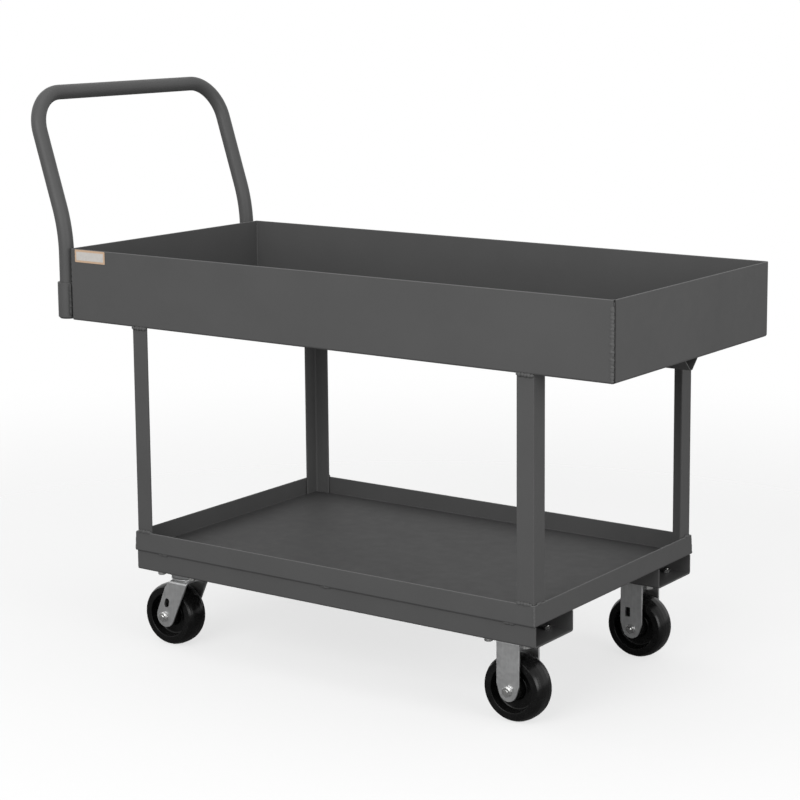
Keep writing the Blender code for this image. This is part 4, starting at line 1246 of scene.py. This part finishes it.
def swivel_plate(side, pivot):
    """Top plate with the upper race pressed down from it."""
    node = f"swivel_plate_{side}"
    low, high = box_of(node)
    under = high[2] - PLATE_THICKNESS
    foot = under - RACE_HEIGHT
    roof = under - RACE_FLOOR
    outer = RACE_DIAMETER / 2
    pin = KINGPIN_DIAMETER / 2 + GAP
    groove_in = BALL_RING_INNER / 2 - GAP
    groove_out = BALL_RING_OUTER / 2 + GAP
    race = filleted([(pin, under + 0.001), (outer + 0.0022, under + 0.001),
                     (outer - 0.0002, under - 0.0020), (outer - RACE_CONE, foot),
                     (groove_out, foot), (groove_out, roof),
                     (groove_in, roof), (groove_in, foot), (pin, foot)],
                    [0, 0, 0.0030, 0.0012, 0.0004, 0.001, 0.001, 0.0004, 0.0004], 5)
    race = turned(race, "Z", (pivot[0], pivot[1], 0), RACE_FACETS)
    shells = [caster_plate(under, high[2], pivot), race]
    return piece(node, mesh_of(node, shells), ZINC)


def ball_ring(side, pivot, middle_z, radius):
    """Ring of balls between the races.

    A ball is x = r cos u cos v, y = r cos u sin v, z = r sin u about its centre.
    """
    node = f"swivel_balls_{side}"
    pitch_radius = (BALL_RING_INNER + BALL_RING_OUTER) / 4
    u = np.linspace(-np.pi / 2 + 0.05, np.pi / 2 - 0.05, 9)[:, None]
    v = np.linspace(0, 2 * np.pi, 14, endpoint=False)[None]
    ball = np.stack([np.cos(u) * np.cos(v), np.cos(u) * np.sin(v), np.sin(u) + 0 * v], -1)
    ball = radius * ball
    shells = []
    for turn in np.linspace(0, 2 * np.pi, BALL_COUNT, endpoint=False):
        centre = pivot[:2] + pitch_radius * np.array([math.cos(turn), math.sin(turn)])
        shells.append(shell(ball + np.array([*centre, middle_z])))
    return piece(node, mesh_of(node, shells), STEEL)


def kingpin(side, pivot):
    """Pin with a flush head in the plate and a nut under the fork's crown."""
    node = f"kingpin_{side}"
    low, high = box_of(node)
    centre = (pivot[0], pivot[1], 0)
    nut_low = low[2] + KINGPIN_TAIL
    nut_high = nut_low + KINGPIN_NUT
    nut = hex_body(KINGPIN_NUT_ACROSS, nut_low, nut_high, "Z", centre)
    rod = threaded(KINGPIN_DIAMETER, low[2], nut_high, "Z", centre, "low")
    seat = high[2] - KINGPIN_HEAD + GAP
    thin = KINGPIN_DIAMETER / 2
    wide = KINGPIN_HEAD_DIAMETER / 2
    start = nut_high - 0.001
    shank = filleted([(0.001, start), (thin, start), (thin, seat),
                      (wide, seat), (wide, high[2]), (0.001, high[2])],
                     [0, 0, 0.0003, 0.0003, 0.0008, 0], 3)
    shells = [nut, rod, turned(shank, "Z", centre, 48)]
    return piece(node, mesh_of(node, shells), BOLT_ZINC)


def swivel_fork(side, pivot):
    """Raked fork with the lower race on its crown and the slot in its right leg."""
    node = f"swivel_fork_{side}"
    axle = joint_places[f"wheel_spin_rear_{side}"]
    low, high = box_of(node)
    crown = high[2] - RACE_CUP_HEIGHT + GAP
    trail = axle[0] - pivot[0]
    end = np.array([trail + SWIVEL_END_SHIFT, axle[2] + SWIVEL_END_RISE])
    shoulder = crown - SWIVEL_SHOULDER_DROP
    front = [(SWIVEL_FRONT_REACH, high[2]), (SWIVEL_FRONT_REACH, crown)]
    rear = [(-SWIVEL_REAR_REACH, high[2]), (-SWIVEL_REAR_REACH, crown),
            (-SWIVEL_SHOULDER_REACH, shoulder)]
    front = side_edge(front, end, SWIVEL_END_RADIUS, 1)
    rear = side_edge(rear, end, SWIVEL_END_RADIUS, -1)
    foot = end[1] - SWIVEL_END_RADIUS + FOOT_GAP
    rows = leg_rows(foot, end[1] + 0.012, crown - FORK_BEND, [shoulder])
    strip = mesh_of("strip", [shell(fork_grid(FORK_WIDTH, crown, front, rear, rows))])
    slot_middle = (trail + SWIVEL_SLOT_SHIFT, axle[2] + SWIVEL_SLOT_RISE)
    opening = slot_outline(slot_middle, SWIVEL_SLOT_WIDTH, SWIVEL_SLOT_LENGTH, -SWIVEL_SLOT_LEAN)
    tool = mesh_of("tool", [bar(opening, "Y", -FORK_WIDTH, -FORK_WIDTH / 4, 0.0001)])
    strip = cut(strip, tool)
    pin = KINGPIN_DIAMETER / 2 + GAP
    cup = RACE_CUP_DIAMETER / 2
    groove_in = BALL_RING_INNER / 2 - GAP
    groove_out = BALL_RING_OUTER / 2 + GAP
    floor_z = crown + RACE_FLOOR
    race = filleted([(pin, crown - 0.001), (cup - 0.0016, crown - 0.001), (cup, crown + 0.0014),
                     (cup, high[2]), (groove_out, high[2]), (groove_out, floor_z),
                     (groove_in, floor_z), (groove_in, high[2]), (pin, high[2])],
                    [0, 0.0006, 0.0012, 0.0008, 0.0004, 0.0005, 0.0005, 0.0004, 0.0004], 5)
    race_mesh = mesh_of("race", [turned(race, "Z", (0, 0, 0), RACE_FACETS)])
    whole = merged(node, strip, race_mesh)
    whole.transform(Matrix.Translation((pivot[0], pivot[1], 0)))
    return piece(node, whole, ZINC)


for side in ("left", "right"):
    pivot = joint_places[f"swivel_turn_{side}"]
    swivel_plate(side, pivot)
    swivel_fork(side, pivot)
    kingpin(side, pivot)
    ball_low = box_of(f"swivel_balls_{side}")[0]
    ball_ring(side, pivot, ball_low[2] + BALL_RADIUS, BALL_RADIUS)
print("balls in each ring:", BALL_COUNT)

# %% [markdown]
# ## Wheels and axles
# The wheel's section is drawn once, with its recess, its hub and the crown of the tread, whose
# radius falls off with the cube of the distance from the middle, and turned about the axle. The
# thin bright arcs in the photograph are the edges of that recess, so the radii there matter more
# than anything else on the wheel.

# %% Wheels
WHEEL_WIDTH = 0.052
RIM_INNER = 0.092 / 2
WEB_OUTER = 0.087 / 2
WEB_THICKNESS = 0.015
HUB_RADIUS = 0.043 / 2
HUB_WIDTH = 0.057
HUB_DRAFT = 0.0016
CROWN = 0.0068
CROWN_STEPS = (0.85, 0.6, 0.25)
CROWN_ROUNDING = 0.012
BEARING_RADIUS = 0.031 / 2
SLEEVE_RADIUS = 0.019 / 2


def wheel(name):
    """Wheel, its roller bearing, the axle sleeve, the bolt and the nut at one axle."""
    axle = joint_places[f"wheel_spin_{name}"]
    node = f"wheel_{name}"
    low, high = box_of(node)
    radius = (high[2] - low[2]) / 2
    half = WHEEL_WIDTH / 2
    bore = BEARING_RADIUS + GAP
    right_half = [(bore, HUB_WIDTH / 2), (HUB_RADIUS, HUB_WIDTH / 2),
                  (HUB_RADIUS + HUB_DRAFT, WEB_THICKNESS / 2), (WEB_OUTER, WEB_THICKNESS / 2),
                  (RIM_INNER, half), (radius - CROWN, half)]
    radii = [0.0006, 0.0012, 0.0035, 0.0035, 0.0015, 0.0010]
    for share in CROWN_STEPS:
        right_half.append((radius - CROWN * share ** 3, half * share))
        radii.append(CROWN_ROUNDING)
    corners = right_half + [(r, -y) for r, y in right_half[::-1]]
    profile = filleted(corners, radii + radii[::-1], 6)
    tyre = turned(profile, "Y", axle, 112)
    piece(node, mesh_of(node, [tyre]), resin(f"black_resin_{name}", axle))

    node = f"hub_bearing_{name}"
    wide = HUB_WIDTH / 2
    inner = SLEEVE_RADIUS + GAP
    cage = ring_section(inner, BEARING_RADIUS, -wide, wide, 0.0006)
    piece(node, mesh_of(node, [turned(cage, "Y", axle, 56)]), STEEL)

    node = f"axle_sleeve_{name}"
    low, high = box_of(node)
    wide = (high[1] - low[1]) / 2
    inner = AXLE_DIAMETER / 2 + 2 * GAP
    sleeve = ring_section(inner, SLEEVE_RADIUS, -wide, wide, 0.0005)
    piece(node, mesh_of(node, [turned(sleeve, "Y", axle, 48)]), STEEL)

    node = f"axle_bolt_{name}"
    low, high = box_of(node)
    line = (axle[0], 0, axle[2])
    head_low = high[1] - AXLE_HEAD
    head = hex_body(AXLE_ACROSS, head_low + 0.0004, high[1], "Y", line)
    collar = ring_section(0.003, AXLE_ACROSS * 0.47, head_low, head_low + 0.0008, 0.0002, 2)
    rod = threaded(AXLE_DIAMETER, low[1], head_low + 0.001, "Y", line, "low")
    shells = [head, turned(collar, "Y", line, 48), rod]
    piece(node, mesh_of(node, shells), BOLT_ZINC)

    node = f"axle_nut_{name}"
    low, high = box_of(node)
    nut = hex_body(AXLE_ACROSS, low[1], high[1] - 0.0008, "Y", line)
    flange = filleted([(0.0052, high[1] - 0.0012), (AXLE_ACROSS * 0.50, high[1] - 0.0012),
                       (AXLE_ACROSS * 0.53, high[1]), (0.0052, high[1])], 0.0003, 3)
    piece(node, mesh_of(node, [nut, turned(flange, "Y", line, 56)]), BOLT_ZINC)


for end in ("front", "rear"):
    for side in ("left", "right"):
        wheel(f"{end}_{side}")
print("wheels: 4")

# %% [markdown]
# ## Handle
# One tube bent three ways: back above the tray, then over at both top corners into the crossbar. A
# circle is carried along its centre line; the line is worked out from the lean, the lengths and the
# bend radii. The posts drop into short sockets that are welded to the tray's end wall.

# %% Handle
HANDLE_WALL = 0.002
HANDLE_BEND_HEIGHT = 0.188
HANDLE_BEND_RADIUS = 0.330
HANDLE_LEAN = math.radians(17.8)
HANDLE_SLOPE_LENGTH = 0.2976
HANDLE_CORNER_RADIUS = 0.0835
TUBE_FACETS = 40


def handle_path(post_x, half_spread, deck, foot):
    """Centre line and lean at each point: post, bend backwards, slope, corner, and mirrored.

    The bend is an arc in X and Z. The corner is an arc in the leaning plane, from the slope's
    direction into the crossbar's.
    """
    tangent = HANDLE_BEND_RADIUS * math.tan(HANDLE_LEAN / 2)
    lean = np.linspace(0, HANDLE_LEAN, 14)
    bend_x = post_x - HANDLE_BEND_RADIUS * (1 - np.cos(lean))
    bend_z = deck + HANDLE_BEND_HEIGHT - tangent + HANDLE_BEND_RADIUS * np.sin(lean)
    bend = np.stack([bend_x, np.full(14, -half_spread), bend_z], 1)
    uphill = np.array([-math.sin(HANDLE_LEAN), 0.0, math.cos(HANDLE_LEAN)])
    knee = np.array([post_x, -half_spread, deck + HANDLE_BEND_HEIGHT])
    turn = np.linspace(0, np.pi / 2, 22)[:, None]
    climb = HANDLE_SLOPE_LENGTH - HANDLE_CORNER_RADIUS * (1 - np.sin(turn))
    sideways = HANDLE_CORNER_RADIUS * (1 - np.cos(turn))
    corner = knee + uphill * climb + np.array([0.0, 1.0, 0.0]) * sideways
    half = np.concatenate([[[post_x, -half_spread, foot]], bend, corner])
    tilt = np.concatenate([[0.0], lean, np.full(22, HANDLE_LEAN)])
    return np.concatenate([half, half[::-1] * (1, -1, 1)]), np.concatenate([tilt, tilt[::-1]])


def tube(path, tilt, radius):
    """Rings round a path: one axis of each is the leaning plane's normal, so they don't twist."""
    along = np.gradient(path, axis=0)
    along /= np.linalg.norm(along, axis=1, keepdims=True)
    side = np.stack([np.cos(tilt), 0 * tilt, np.sin(tilt)], 1)
    above = np.cross(along, side)
    angle = np.linspace(0, 2 * np.pi, TUBE_FACETS, endpoint=False)
    ring = side[:, None] * np.cos(angle)[None, :, None]
    ring = ring + above[:, None] * np.sin(angle)[None, :, None]
    return path[:, None] + radius * ring


handle_low, handle_high = box_of("handle")
socket_low, socket_high = box_of("handle_socket_right")
post_x, post_y = ((socket_low + socket_high) / 2)[:2]
tube_radius = (handle_high[1] - handle_low[1]) / 2 - abs(post_y)
line, tilt = handle_path(post_x, abs(post_y), tray_low[2], handle_low[2])
outside = tube(line, tilt, tube_radius)
inside = tube(line, tilt, tube_radius - HANDLE_WALL)
handle_mesh = mesh_of("handle", [shell(np.concatenate([outside, inside[::-1]]), loop=True)])
piece("handle", handle_mesh, TUBE_ENAMEL)
print("handle tube diameter", round(2 * tube_radius, 4))

# %% Sockets
SOCKET_FLOOR = 0.003
SOCKET_CHAMFER = 0.004
SOCKET_BEAD = (0.0060, 0.0026)
SOCKET_BEAD_LUMPS = 0.1
# Painted shade: the socket seams are painted darker, for the shade beside the socket.
SOCKET_BEAD_PAINTED_SHADE = -0.35


def socket(side, sy):
    """Socket with a chamfered foot, open at its top, and its two seams on the end wall."""
    node = f"handle_socket_{side}"
    low, high = box_of(node)
    centre = (low + high) / 2
    outer = (high[1] - low[1]) / 2
    bore = tube_radius + GAP
    floor_z = low[2] + SOCKET_FLOOR
    profile = filleted([(0.0004, low[2]), (outer - SOCKET_CHAMFER, low[2]),
                        (outer, low[2] + SOCKET_CHAMFER), (outer, high[2]), (bore, high[2]),
                        (bore, floor_z), (0.0004, floor_z)],
                       [0, 0.001, 0.001, 0.0008, 0.0006, 0.001, 0], 4)
    shells = [turned(profile, "Z", (centre[0], centre[1], 0), 56, closed=False)]
    wall = tray_low[0]
    for face in (1, -1):
        y = centre[1] + face * outer * 0.62
        run = [(wall - 0.0012, y, low[2] + 0.006), (wall - 0.0012, y, high[2] - 0.002)]
        shells.append(bead(run, *SOCKET_BEAD, (-0.8, face, 0), 3 * sy + face,
                           SOCKET_BEAD_LUMPS, SOCKET_BEAD_PAINTED_SHADE))
    return piece(node, mesh_of(node, shells), TUBE_ENAMEL)


for side, sy in (("left", 1), ("right", -1)):
    socket(side, sy)
print("sockets at y", round(post_y, 4))
